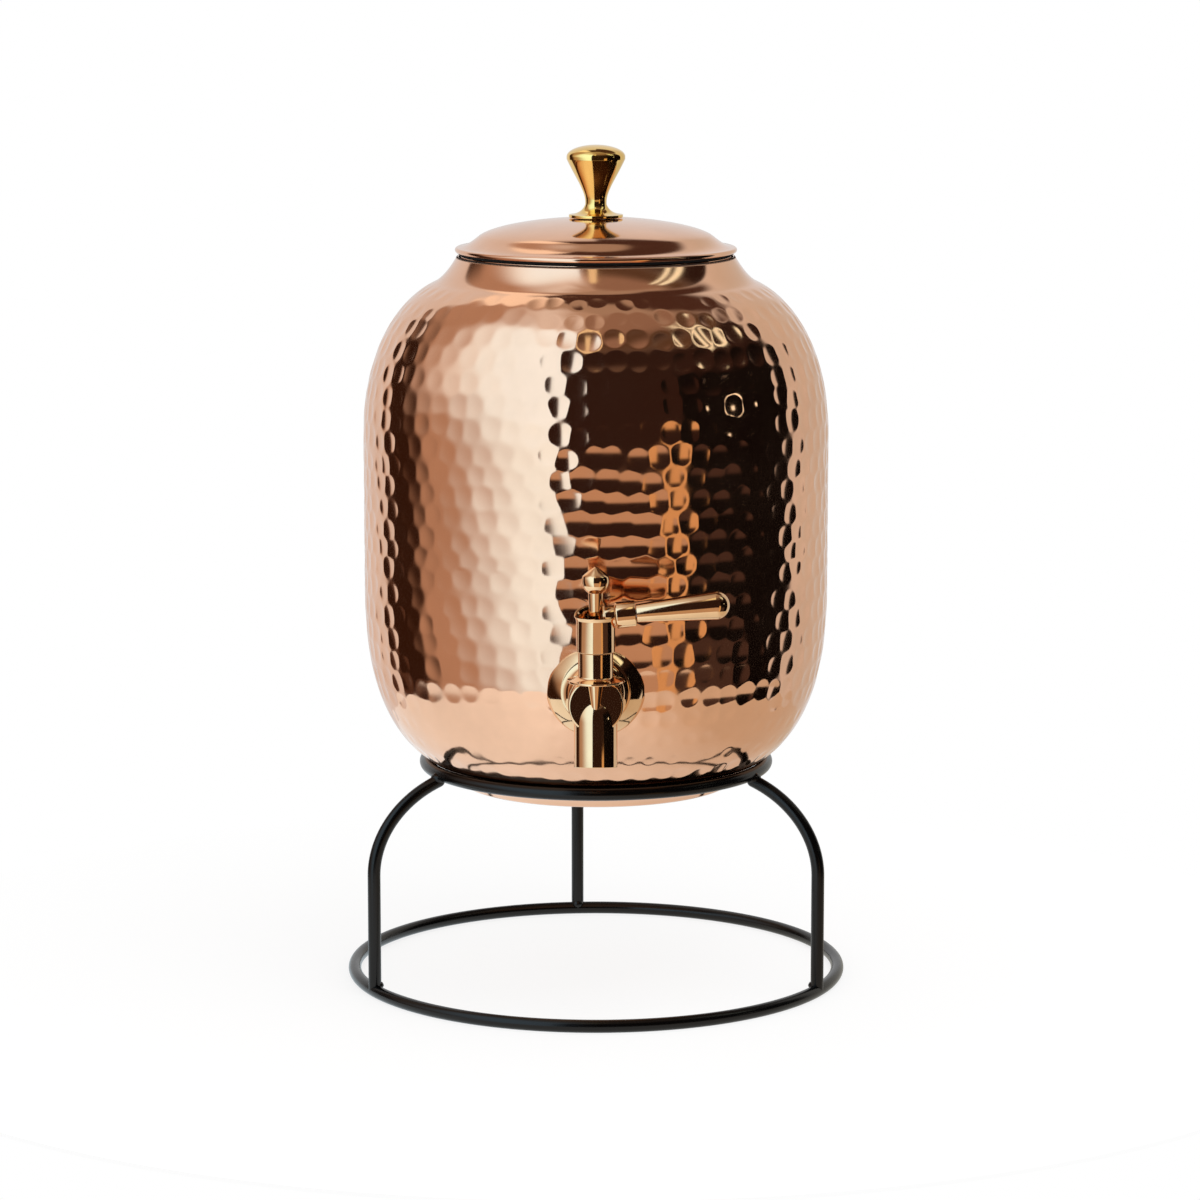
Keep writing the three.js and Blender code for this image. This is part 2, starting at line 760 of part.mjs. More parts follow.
function lidKnob() {
  const bottom = lidTop + gap;
  const footTop = bottom + knobFootThickness;
  const waist = footTop + knobFlareRise;
  const trumpetFoot = waist + knobWaistLength;
  const capFoot = trumpetFoot + knobTrumpetRise;
  const flareRun = knobFootRadius - knobWaistRadius;
  const capRun = knobCapRadius - knobWaistRadius;
  const flare = pulledPoints([
    [knobFootRadius, footTop],
    [knobWaistRadius + flareRun * knobFlareShares.run, footTop + knobFlareRise * knobFlareShares.rise],
    [knobWaistRadius, waist],
  ], curveSteps);
  const trumpet = pulledPoints([
    [knobWaistRadius, trumpetFoot],
    [knobWaistRadius, trumpetFoot + knobTrumpetRise * knobTrumpetShares.lowerRise],
    [
      knobWaistRadius + capRun * knobTrumpetShares.upperRun,
      trumpetFoot + knobTrumpetRise * knobTrumpetShares.upperRise,
    ],
    [knobCapRadius, capFoot],
  ], curveSteps);
  const capRim = [knobCapRadius, capFoot + knobCapRise * knobCapShare];
  const cap = arcPoints([0, capRim[1]], knobCapRadius, knobCapRise * (1 - knobCapShare), 0, 90, curveSteps);
  const section = [
    [0, bottom + knobHoleDepth],
    [screwRadius + gap, bottom + knobHoleDepth],
    [screwRadius + gap, bottom],
    [knobFootRadius, bottom],
    ...flare,
    ...trumpet,
    ...cap.slice(0, -1),
    [0, capFoot + knobCapRise],
  ];
  return makeMesh('lid_knob', turnUp(section, smallSegments), goldBrass());
}

function lidKnobScrew() {
  const washerTop = lidTop - lidWall - gap;
  const washerBottom = washerTop - knobWasherThickness;
  const headTop = washerBottom - gap;
  const headBottom = headTop - screwHeadHeight;
  const screw = [
    [0, headBottom],
    [screwHeadRadius, headBottom],
    [screwHeadRadius, headTop],
    [screwRadius, headTop],
    [screwRadius, lidTop + knobHoleDepth - screwTipClearance],
    [0, lidTop + knobHoleDepth - screwTipClearance],
  ];
  const washer = ringSection(screwRadius + gap, knobWasherRadius, washerBottom, washerTop);
  return [
    makeMesh('lid_knob_screw', turnUp(screw, smallSegments), zincSteel()),
    makeMesh('lid_knob_washer', turnUp(washer, smallSegments), zincSteel()),
  ];
}

function lid() {
  const group = new THREE.Group();
  group.position.set(0, 0, mouthHeight + gap);
  group.add(lidCover(), lidLocatingRing(), lidKnob(), ...lidKnobScrew());
  return group;
}

function tank() {
  const group = new THREE.Group();
  group.position.set(0, 0, footHeight);
  group.add(...tankWalls(), tap(), lid());
  return group;
}

const dispenser = new THREE.Group();
dispenser.position.set(0, (frontReach - backReach) / 2, 0);
dispenser.add(stand(), tank());

export default dispenser;
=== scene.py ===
"""Copper water dispenser: a hammered tank with a lid and a lever tap, standing in a black wire stand."""
import math

import bpy
import numpy as np
from bpy.props import FloatProperty, FloatVectorProperty, PointerProperty
from bpy.types import Operator, Panel, PropertyGroup
from mathutils import Matrix, Vector


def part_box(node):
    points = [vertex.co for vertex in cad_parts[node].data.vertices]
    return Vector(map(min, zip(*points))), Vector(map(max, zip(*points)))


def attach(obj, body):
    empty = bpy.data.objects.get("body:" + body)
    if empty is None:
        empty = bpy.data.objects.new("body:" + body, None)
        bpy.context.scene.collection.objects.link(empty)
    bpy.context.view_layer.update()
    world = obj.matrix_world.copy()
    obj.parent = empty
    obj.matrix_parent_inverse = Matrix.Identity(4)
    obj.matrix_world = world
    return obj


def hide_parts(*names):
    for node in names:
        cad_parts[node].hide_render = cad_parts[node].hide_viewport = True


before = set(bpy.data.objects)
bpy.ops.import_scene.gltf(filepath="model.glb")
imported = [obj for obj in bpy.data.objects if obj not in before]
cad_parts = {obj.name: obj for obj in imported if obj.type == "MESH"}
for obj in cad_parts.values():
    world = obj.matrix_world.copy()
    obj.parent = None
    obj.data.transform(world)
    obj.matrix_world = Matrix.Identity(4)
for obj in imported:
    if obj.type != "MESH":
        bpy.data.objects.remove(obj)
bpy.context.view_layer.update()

bl_info = {
    "name": "Copper Water Dispenser",
    "version": (1, 0, 0),
    "blender": (4, 5, 0),
    "location": "3D View > Sidebar > Dispenser",
    "description": "Builds a hammered copper water dispenser on a wire stand",
    "category": "Object",
}

MM = 0.001

# Places that come from the frame.
TANK_NODES = ("tank_base", "tank_shell", "tank_neck")
SHELL_LOW, SHELL_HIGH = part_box("tank_shell")
AXIS_Y = (SHELL_LOW.y + SHELL_HIGH.y) / 2
FOOT_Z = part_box("tank_base")[0].z
MOUTH_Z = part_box("tank_neck")[1].z
TANK_RADIUS = SHELL_HIGH.x
LID_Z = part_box("lid_cover")[0].z
LID_TOP_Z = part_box("lid_cover")[1].z
VALVE_Y = (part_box("tap_plug")[0].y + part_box("tap_plug")[1].y) / 2

# Tank outline.
TANK_WALL = 1.2 * MM
FOOT_RADIUS = 72 * MM
FOOT_ROUND_RUN = 5 * MM
FOOT_ROUND_RISE = 2.6 * MM
FOOT_CONE_RADIUS = 90 * MM
UNDERSIDE_CENTRE_RADIUS = 47.1 * MM
UNDERSIDE_CENTRE_HEIGHT = 115.25 * MM
UNDERSIDE_RISE = 110.75 * MM
UNDERSIDE_EXPONENT = 2.63
SHOULDER_CENTRE_RADIUS = 68.2 * MM
SHOULDER_CENTRE_HEIGHT = 192.65 * MM
SHOULDER_RISE = 87.75 * MM
SHOULDER_EXPONENT = 2.11
MOUTH_RADIUS = 75.6 * MM
NECK_RUN = 12 * MM
NECK_RUN_SHARE = 0.53
NECK_RISE_SHARE = 0.79
HAMMER_START = 19 * MM
HAMMER_END = 275 * MM

# Rounding and turned detail.
CORNER_STEPS = 160
SOFT_STEPS = 4
SMALL_SEGMENTS = 96
RING_SEGMENTS = 192
ROD_SIDES = 28
EDGE_ROUND = 0.35 * MM

# Lid and knob.
LID_RADIUS = 76.6 * MM
LID_WALL = 1.2 * MM
LID_RIM = 4.1 * MM
LID_RIM_WIDTH = 5 * MM
LID_FLANGE_RISE = 1.5 * MM
LID_DOME_RADIUS = 65.3 * MM
LID_STEP_RISE = 2 * MM
LID_DOME_RISE = 12.5 * MM
LID_DOME_EXPONENT = 1.85
LID_DOME_END = 62.6 * MM
LID_CREVICE = 1.3 * MM
LID_CREVICE_DEPTH = 2.1 * MM
LID_LAND_RADIUS = 15.4 * MM
LID_SWEEP_LEAD = 2.5 * MM
LID_RING_CLEARANCE = 0.8 * MM
LID_RING_WALL = 1 * MM
LID_RING_DEPTH = 10 * MM
SCREW_BORE = 2.5 * MM
SCREW_BORE_DEPTH = 14 * MM
KNOB_FOOT_RADIUS = 14.7 * MM
KNOB_FOOT_THICKNESS = 1.3 * MM
KNOB_FLARE_RISE = 5.5 * MM
KNOB_WAIST_RADIUS = 5.8 * MM
KNOB_WAIST_LENGTH = 1.2 * MM
KNOB_TRUMPET_RISE = 23.2 * MM
KNOB_CAP_RADIUS = 15.9 * MM
KNOB_CAP_RISE = 7.7 * MM
PIECE_GAP = 0.3 * MM

# Tap, measured forward from the tank's wall and up from the tap's level axis.
TAP_Z = FOOT_Z + 74 * MM
TAP_REACH = 40 * MM
WALL_Y = VALVE_Y + TAP_REACH
SHANK_RADIUS = 7.94 * MM
SHANK_LENGTH = 24 * MM
PASSAGE_RADIUS = 4.5 * MM
CUP_RADIUS = 26.1 * MM
CUP_DEPTH = 6.5 * MM
CUP_WALL = 1.2 * MM
CUP_BULGE = 60.6 * MM
CUP_LEANS = (32, 44)
CUP_SKIRT = 9 * MM
CUP_OVERLAP = 0.7 * MM
BELL_RADIUS = 18.3 * MM
BELL_EDGE = 1.1 * MM
BELL_DEPTH = 8.1 * MM
BARREL_RADIUS = 13.4 * MM
FRONT_RADIUS = 14.2 * MM
FRONT_REACH = 8.4 * MM
FRONT_LEAN = 0.06
FRONT_EDGE = 1.2 * MM
FRONT_BACK = 4 * MM
FRONT_TOP_GAP = 0.1 * MM
RIB_TOP_RADIUS = 4 * MM
RIB_LOW_RADIUS = 1.3 * MM
RIB_DROP = 5 * MM
SPOUT_CROWN = 10 * MM
SPOUT_CROWN_RISE = 15.5 * MM
CHAMBER_RADIUS = 9.05 * MM
CHAMBER_TOP = 26.9 * MM
BRIM_RADIUS = 14.8 * MM
BRIM_HEIGHT = 11.4 * MM
BRIM_THICKNESS = 1.1 * MM
BRIM_SLOPE = 2 * MM
SPOUT_RADIUS = 11.15 * MM
SPOUT_WALL = 1.8 * MM
SPOUT_LENGTH = 32.8 * MM
SPOUT_LEAN = math.radians(9.6)
VALVE_BORE = 6.6 * MM
VALVE_BORE_LOW = -7.3 * MM
GLAND_BORE = 7.9 * MM
GLAND_BORE_LOW = 20.3 * MM
OUTLET_BORE = 5 * MM
OUTLET_ENDS = (4 * MM, 16 * MM)
SPOUT_BORE_START = 15 * MM
CUT_EXTRA = 1 * MM
HUB_RADIUS = 10.05 * MM
HUB_WALL = 1.3 * MM
HUB_FLARE = 1.1 * MM
HUB_BOTTOM = 27.2 * MM
HUB_FLOOR = 39.5 * MM
HUB_FRONT = 45.4 * MM
HUB_RIM_RISE = 4.1 * MM
HUB_RECESS = 1.1 * MM
HUB_RECESS_RADIUS = CHAMBER_RADIUS - 0.3 * MM
HUB_RAKE_START = HUB_FLOOR + 2 * MM
STEM_HOLE = 4.3 * MM
STEM_BORE = 2.5 * MM
STEM_BORE_DEPTH = 7 * MM
FINIAL_BOTTOM = 39.8 * MM
FINIAL_STEM = 3.2 * MM
FINIAL_NECK = 3.9 * MM
FINIAL_BALL = 7.15 * MM
FINIAL_BALL_Z = 63.6 * MM
FINIAL_CROWN_FOOT = 22
LEVER_Z = 44.7 * MM
LEVER_TILT = math.radians(6)
LEVER_BOSS = 5.4 * MM
LEVER_BOSS_START = 4.8 * MM
STUD_BORE = 2.3 * MM
STUD_BORE_DEPTH = 18.3 * MM
COLLAR_RADIUS = 6.8 * MM
COLLAR_START = 10.4 * MM
COLLAR_LENGTH = 10.2 * MM
HANDLE_ROOT = 4.65 * MM
HANDLE_TIP = 7.5 * MM
HANDLE_LENGTH = 48 * MM

# Stand.
ROD_RADIUS = 3.5 * MM
BASE_RING_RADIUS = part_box("stand_base_ring")[1].x - ROD_RADIUS
TOP_RING_RADIUS = 94 * MM
TOP_RING_Z = 119.5 * MM
REST_FLAT = 0.25 * MM
REST_Z = ROD_RADIUS - REST_FLAT
LEG_BEND_RISE = 49 * MM
LEG_JOIN_DROP = 3.3 * MM
LEG_JOIN_RUN = 1.6 * MM
LEG_BEND_END = math.radians(66)
LEG_AZIMUTHS = {"left": -153.5, "right": -26.5, "back": 94.7}
FOOT_BEAD = (0.92, 0.85, 0.65)
HEAD_BEAD = (1.1, 1.2, 0.8)
BEAD_RIPPLE = 0.05

# Camera of the photograph: lens and sensor in mm, distance in front of the tank's axis, height and downward pitch.
CAMERA_LENS = 127.05
CAMERA_SENSOR = 36
CAMERA_DISTANCE = 2.3
CAMERA_HEIGHT = 0.5855
CAMERA_SIDE = 0.0022
CAMERA_PITCH = math.radians(9.3)


# Sizes and colours that a user would change.


def length(name, description, value):
    """A length that a user can set."""
    return FloatProperty(name=name, description=description, default=value, unit="LENGTH")


def colour(name, description, value):
    """A colour that a user can set."""
    return FloatVectorProperty(name=name, description=description, default=value, subtype="COLOR")


class TankSettings(PropertyGroup):
    """Hammer marks and copper of the tank."""

    pitch: length("Pitch", "Distance between dents", 11.9 * MM)
    row_pitch: length("Row Pitch", "Distance between rows", 11.9 * MM)
    dent_radius: length("Dent Radius", "Radius of a dent", 6.0 * MM)
    hammer_radius: length("Hammer Radius", "Roundness of the hammer's face", 34 * MM)
    wander: length("Wander", "How far a dent strays", 0.9 * MM)
    oval: FloatProperty(name="Oval", description="How much wider the lower dents are than circles", default=1.5)
    copper: colour("Copper", "Colour of the copper", (0.93, 0.53, 0.34))


class FittingSettings(PropertyGroup):
    """Colours of the knob and the tap, and the rounding of turned edges."""

    gold: colour("Gold Brass", "Colour of the knob", (1.0, 0.66, 0.22))
    tap_copper: colour("Tap Copper", "Colour of the tap", (0.93, 0.58, 0.32))
    edge_round: length("Edge Round", "Radius of turned edges", EDGE_ROUND)


class StandSettings(PropertyGroup):
    """Coating and weld beads of the stand."""

    coating: colour("Coating", "Colour of the stand's coating", (0.0015, 0.0015, 0.0017))
    bead: length("Weld Bead", "Radius of a weld bead", 3.8 * MM)


class StudioSettings(PropertyGroup):
    """Light and surroundings."""

    studio: FloatProperty(name="Studio", description="Brightness of all that the metal mirrors", default=1.0, min=0)
    overhead: FloatProperty(name="Overhead", description="Power of the overhead lamp", default=4.0, unit="POWER")


# Outlines: lists of (radius, height) pairs.


def arc(centre, run, rise, start, end, steps):
    """Points of an elliptical arc. Its angles are in degrees."""
    angles = [math.radians(start + (end - start) * i / steps) for i in range(steps + 1)]
    return [(centre[0] + run * math.cos(a), centre[1] + rise * math.sin(a)) for a in angles]


def rounded_corner(centre, run, rise, exponent, end_radius, steps):
    """Points of a corner that is fuller than an ellipse, from its side in to a stated radius."""
    power = 2 / exponent
    end = math.acos(((end_radius - centre[0]) / run) ** (1 / power))
    angles = [end * i / steps for i in range(steps + 1)]
    return [(centre[0] + run * math.cos(a) ** power, centre[1] + rise * math.sin(a) ** power) for a in angles]


def pulled(controls, steps):
    """Points of a smooth curve pulled towards its control points."""
    order = len(controls) - 1
    points = []
    for i in range(steps + 1):
        t = i / steps
        weights = [math.comb(order, k) * t**k * (1 - t) ** (order - k) for k in range(order + 1)]
        points.append(tuple(sum(w * c[axis] for w, c in zip(weights, controls)) for axis in range(2)))
    return points


def softened(section, radius, closed=False, least=math.radians(25)):
    """The section with its sharp corners rounded to a small radius."""
    count = len(section)
    result = []
    for i, corner in enumerate(section):
        if not closed and i in (0, count - 1):
            result.append(corner)
            continue
        here = Vector(corner)
        back = Vector(section[i - 1]) - here
        ahead = Vector(section[(i + 1) % count]) - here
        turn = math.pi - back.angle(ahead)
        if turn < least:
            result.append(corner)
            continue
        reach = min(radius * math.tan(turn / 2), back.length * 0.45, ahead.length * 0.45)
        first = here + back.normalized() * reach
        last = here + ahead.normalized() * reach
        result += pulled([first, here, last], SOFT_STEPS)
    return result


# Meshes.


def add_piece(name, vertices, faces, body, nodes, slot, finish=None, crevice_shade=None):
    """A smooth shaded piece that rides on a body and stands for nodes of the frame.

    Its look is the finish, or else the slot's own. The last argument marks the hollows where shade is painted.
    """
    mesh = bpy.data.meshes.new(name)
    mesh.from_pydata(vertices, [], faces)
    mesh.validate()
    mesh.shade_smooth()
    piece = bpy.data.objects.new(name, mesh)
    bpy.context.scene.collection.objects.link(piece)
    mesh.materials.append(finish_of(finish or slot))
    # A vertex attribute that marks where shade is painted.
    if crevice_shade is not None:
        mesh.attributes.new("crevice_shade", "FLOAT", "POINT").data.foreach_set("value", crevice_shade)
    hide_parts(*nodes)
    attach(piece, body)
    return piece


def ring_faces(low, high, segments):
    """Quads between two rings of vertices, which start at low and high."""
    k = np.arange(segments)
    following = (k + 1) % segments
    return np.c_[low + k, low + following, high + following, high + k].tolist()


def end_faces(tip, last_ring, segments):
    """Triangles that close the first ring onto the vertex tip and the last ring onto the vertex after it."""
    faces = []
    for k in range(segments):
        following = (k + 1) % segments
        faces += [(tip, following, k), (tip + 1, last_ring + k, last_ring + following)]
    return faces


def turned_mesh(section, segments):
    """Vertices and faces of a section turned about the Z axis. It runs from axis to axis, or closes on itself."""
    on_axis = section[0][0] < 1e-9 and section[-1][0] < 1e-9
    rings = section[1:-1] if on_axis else section
    vertices = []
    for radius, height in rings:
        for k in range(segments):
            angle = 2 * math.pi * k / segments
            vertices.append(Vector((radius * math.cos(angle), radius * math.sin(angle), height)))
    faces = []
    count = len(rings)
    for i in range(count - 1 if on_axis else count):
        faces += ring_faces(i * segments, (i + 1) % count * segments, segments)
    if on_axis:
        faces += end_faces(len(vertices), (count - 1) * segments, segments)
        vertices += [Vector((0, 0, section[0][1])), Vector((0, 0, section[-1][1]))]
    area = sum(a[0] * b[1] - b[0] * a[1] for a, b in zip(section, section[1:] + section[:1]))
    if area < 0:
        faces = [face[::-1] for face in faces]
    return vertices, faces


def turned_piece(name, section, segments, place, body, node, slot, finish=None, adjust=None, hollow=None):
    """A turned piece put in its place. adjust may move its vertices first, and hollow tells which vertices get painted
    shade.
    """
    vertices, faces = turned_mesh(section, segments)
    crevice_shade = [float(hollow(math.hypot(v.x, v.y), v.z)) for v in vertices] if hollow else None
    if adjust:
        vertices = [adjust(v) for v in vertices]
    return add_piece(name, [place @ v for v in vertices], faces, body, (node,), slot, finish, crevice_shade)


def swept_rod(points, radius, sides):
    """Vertices and faces of a round rod along a path that starts straight up and stays in one upright plane."""
    path = [Vector(p) for p in points]
    last = len(path) - 1
    vertices, faces = [], []
    side_axis = Vector((0, 1, 0))
    for i, point in enumerate(path):
        direction = (path[min(i + 1, last)] - path[max(i - 1, 0)]).normalized()
        side_axis = (side_axis - direction * side_axis.dot(direction)).normalized()
        other_axis = direction.cross(side_axis)
        for k in range(sides):
            angle = 2 * math.pi * k / sides
            vertices.append(point + (side_axis * math.cos(angle) + other_axis * math.sin(angle)) * radius)
    for i in range(last):
        faces += ring_faces(i * sides, (i + 1) * sides, sides)
    faces += [range(sides)[::-1], range(last * sides, (last + 1) * sides)]
    return vertices, faces


LID_PLACE = Matrix.Translation((0, AXIS_Y, LID_Z))
VALVE_PLACE = Matrix.Translation((0, VALVE_Y, TAP_Z))
TAP_PLACE = Matrix.Translation((0, WALL_Y, TAP_Z)) @ Matrix.Rotation(math.radians(90), 4, "X")
SPOUT_PLACE = VALVE_PLACE @ Matrix.Rotation(math.pi - SPOUT_LEAN, 4, "X")
LEVER_PLACE = (
    Matrix.Translation((0, VALVE_Y, TAP_Z + LEVER_Z)) @ Matrix.Rotation(math.radians(90) - LEVER_TILT, 4, "Y")
)


# Materials.


def feed(tree, node, inputs):
    """Sets each named input to a plain value, or links it to an output or to a node's first output."""
    for key, source in inputs.items():
        if isinstance(source, bpy.types.Node):
            source = next(output for output in source.outputs if output.enabled)
        if isinstance(source, bpy.types.NodeSocket):
            tree.links.new(source, node.inputs[key])
        else:
            node.inputs[key].default_value = source


def add_node(tree, kind, inputs=None, **settings):
    """A node with its settings and its inputs."""
    node = tree.nodes.new(kind)
    for key, value in settings.items():
        setattr(node, key, value)
    feed(tree, node, inputs or {})
    return node


def math_node(tree, operation, *values, clamp=False):
    """A math node with its values in order."""
    return add_node(tree, "ShaderNodeMath", dict(enumerate(values)), operation=operation, use_clamp=clamp)


def mixed(tree, factor, first, second):
    """A colour between two others."""
    return add_node(tree, "ShaderNodeMix", {"Factor": factor, "A": first, "B": second}, data_type="RGBA")


def ranged(tree, value, inputs, **settings):
    """A value moved from one range to another."""
    return add_node(tree, "ShaderNodeMapRange", {"Value": value, **inputs}, **settings)


def object_noise(tree, inputs):
    """Noise that is fixed to the object."""
    place = add_node(tree, "ShaderNodeTexCoord").outputs["Object"]
    return add_node(tree, "ShaderNodeTexNoise", {"Vector": place, **inputs})


def new_group(name, inputs, outputs):
    """An empty shader node group with named number sockets, the sockets given to it, and its output node."""
    group = bpy.data.node_groups.new(name, "ShaderNodeTree")
    for label, value in inputs.items():
        group.interface.new_socket(label, in_out="INPUT", socket_type="NodeSocketFloat").default_value = value
    for label in outputs:
        group.interface.new_socket(label, in_out="OUTPUT", socket_type="NodeSocketFloat")
    return group, group.nodes.new("NodeGroupInput").outputs, group.nodes.new("NodeGroupOutput")


def haze_group():
    """Cloudy change of polish over a metal surface."""
    values = {"Scale": 30.0, "Low": 0.08, "High": 0.16}
    group, given, result = new_group("polish_haze", values, ("Roughness", "Mask"))
    cloud = object_noise(group, {"Scale": given["Scale"], "Detail": 4.0, "Roughness": 0.6})
    spread = ranged(group, cloud, {"From Min": 0.3, "From Max": 0.7})
    level = ranged(group, spread, {"To Min": given["Low"], "To Max": given["High"]})
    feed(group, result, {"Roughness": level, "Mask": spread})
    return group


def scratch_group():
    """Fine polishing lines, thin and stretched along one axis."""
    group, given, result = new_group("polish_lines", {"Fineness": 900.0, "Stretch": 0.06}, ("Height",))
    place = add_node(group, "ShaderNodeTexCoord").outputs["Object"]
    squeeze = add_node(group, "ShaderNodeCombineXYZ", {"X": 1.0, "Y": 1.0, "Z": given["Stretch"]})
    shaped = add_node(group, "ShaderNodeVectorMath", {0: place, 1: squeeze}, operation="MULTIPLY")
    noise = {"Vector": shaped, "Scale": given["Fineness"], "Detail": 2.0, "Roughness": 0.5}
    feed(group, result, {"Height": add_node(group, "ShaderNodeTexNoise", noise)})
    return group


def edge_group():
    """Where the surface is a raised edge, for wear."""
    group, given, result = new_group("edge_wear", {"Start": 0.52, "Full": 0.6, "Breakup": 220.0}, ("Mask",))
    raised = add_node(group, "ShaderNodeNewGeometry").outputs["Pointiness"]
    spots = object_noise(group, {"Scale": given["Breakup"], "Detail": 3.0, "Roughness": 0.6})
    edge = ranged(group, raised, {"From Min": given["Start"], "From Max": given["Full"]})
    feed(group, result, {"Mask": math_node(group, "MULTIPLY", edge, spots)})
    return group


GROUP_MAKERS = {"polish_haze": haze_group, "polish_lines": scratch_group, "edge_wear": edge_group}
GROUPS = {}


def use_group(tree, name, **values):
    """One of the shared node groups, placed in a material with its own values."""
    if name not in GROUPS:
        GROUPS[name] = GROUP_MAKERS[name]()
    return add_node(tree, "ShaderNodeGroup", values, node_tree=GROUPS[name])


def empty_material(name):
    """A node material with nothing but a Principled shader, its tree and that shader."""
    material = bpy.data.materials.new(name)
    material.use_nodes = True
    tree = material.node_tree
    return material, tree, tree.nodes["Principled BSDF"]


def rgba(color, share=1.0):
    """A colour as four numbers, darkened to a share of itself."""
    return tuple(channel * share for channel in color[:3]) + (1.0,)


# Near black colour of the shade painted into narrow hollows, such as the gap under the lid's rim.
PAINTED_SHADE = (0.006, 0.004, 0.003)
WARM_GLOSS = (1.0, 0.89, 0.82)
METAL_SHADE = 0.9
METAL_WORN = 1.08
COAT_SHADE = 0.8
COAT_CLOUDS = 60.0
COAT_GRAIN = 500.0
COAT_GLOSS = 0.35
BUMP_DEPTH = 0.1 * MM


def metal_material(name, color, low, high, haze=30.0, lines=0.02, stretch=0.06, hollows=False):
    """Polished metal with cloudy polish, fine lines, brighter raised edges and, if asked for, painted shade: near black
    and matt in the hollows that a vertex attribute marks.
    """
    material, tree, shader = empty_material(name)
    cloud = use_group(tree, "polish_haze", Scale=haze, Low=low, High=high)
    fine = use_group(tree, "polish_lines", Stretch=stretch)
    edge = use_group(tree, "edge_wear")
    tone = mixed(tree, cloud.outputs["Mask"], rgba(color), rgba(color, METAL_SHADE))
    wear = mixed(tree, edge, tone, rgba([min(channel * METAL_WORN, 1.0) for channel in color]))
    bump = add_node(tree, "ShaderNodeBump", {"Strength": lines, "Distance": BUMP_DEPTH, "Height": fine})
    feed(tree, shader, {"Metallic": 1.0, "Base Color": wear, "Roughness": cloud, "Normal": bump})
    # Painted shade: where the vertex attribute marks a hollow, the colour turns near black and the surface goes matt
    # and stops being metal, in place of the shadow there.
    if hollows:
        hollow = add_node(tree, "ShaderNodeAttribute", attribute_name="crevice_shade").outputs["Fac"]
        painted_shade_colour = mixed(tree, hollow, wear, rgba(PAINTED_SHADE))
        bare = math_node(tree, "SUBTRACT", 1.0, hollow, clamp=True)
        matt = math_node(tree, "MAXIMUM", cloud, hollow)
        feed(tree, shader, {"Base Color": painted_shade_colour, "Metallic": bare, "Roughness": matt})
    return material


def coated_material(name, color, low, high, depth=0.05, bare=(0.05, 0.05, 0.055)):
    """Satin coating or moulded rubber and plastic, with a fine grain and paler edges."""
    material, tree, shader = empty_material(name)
    cloud = use_group(tree, "polish_haze", Scale=COAT_CLOUDS, Low=low, High=high)
    edge = use_group(tree, "edge_wear")
    skin = object_noise(tree, {"Scale": COAT_GRAIN, "Detail": 2.0})
    tone = mixed(tree, cloud.outputs["Mask"], rgba(color), rgba(color, COAT_SHADE))
    bump = add_node(tree, "ShaderNodeBump", {"Strength": depth, "Distance": BUMP_DEPTH, "Height": skin})
    feed(tree, shader, {"Base Color": mixed(tree, edge, tone, rgba(bare)), "Roughness": cloud, "Normal": bump})
    feed(tree, shader, {"Specular IOR Level": COAT_GLOSS, "Specular Tint": rgba(WARM_GLOSS)})
    return material


MATERIALS = {}


def finish_of(name):
    """The material of a slot of the record or of the tap, made when it is first asked for."""
    scene = bpy.context.scene
    copper = scene.dispenser_tank.copper
    fittings = scene.dispenser_fittings
    coating = scene.dispenser_stand.coating
    machined = {"stretch": 1.0, "lines": 0.15}
    recipes = {
        # The two copper finishes get painted shade in their marked hollows.
        "hammered_copper": (metal_material, copper, 0.07, 0.13, {"haze": 22.0, "hollows": True}),
        "polished_copper": (metal_material, copper, 0.08, 0.14, {"hollows": True}),
        "tap_copper": (metal_material, fittings.tap_copper, 0.05, 0.09, {"haze": 80.0}),
        "gold_brass": (metal_material, fittings.gold, 0.05, 0.09, {"haze": 80.0}),
        "plain_brass": (metal_material, (0.62, 0.4, 0.14), 0.25, 0.4, machined),
        "zinc_steel": (metal_material, (0.55, 0.56, 0.58), 0.25, 0.4, machined),
        "black_steel": (coated_material, coating, 0.2, 0.26, {"bare": (0.008, 0.008, 0.009)}),
        "dark_rubber": (coated_material, (0.02, 0.02, 0.02), 0.65, 0.8, {"depth": 0.2}),
        "white_plastic": (coated_material, (0.8, 0.78, 0.72), 0.35, 0.5, {"bare": (0.9, 0.9, 0.88)}),
    }
    if name not in MATERIALS:
        make, color, low, high, extra = recipes[name]
        MATERIALS[name] = make(name, color, low, high, **extra)
    return MATERIALS[name]


# Tank.

TANK_SEGMENTS = 800
TANK_STEP = 1.0 * MM
FLAT_STEPS = 8
INNER_RING_STEP = 4
# How many rings at the mouth's lip get painted shade.
CREVICE_RINGS = 3
SMOOTH_SIGMA = 0.03 * MM
ROW_SPREAD = (-0.13, 0.17)
PHASE_SPREAD = 0.08
DENT_SPREAD = 0.06
FACE_SPREAD = 0.08
DENT_REACH = 1.4
DENT_LEAN = 0.012
ROW_LEAN = 0.02
OVAL_ROWS = ((62 * MM, 0.1), (80 * MM, 0.9), (160 * MM, 1.0), (190 * MM, 0.1))
OVAL_SIDES = ((-14, 0.0), (-8, 1.0), (12, 1.0), (17, 0.0))
ROW_BLOWS = ((25 * MM, 0.7), (30 * MM, 0.3), (53 * MM, 0.4), (58 * MM, 1.0), (255 * MM, 1.0), (268 * MM, 0.5))
LIGHT_BLOWS = ((-60, 1.0), (-52, 0.5), (-16, 0.5), (-8, 1.0))
SEED = 7


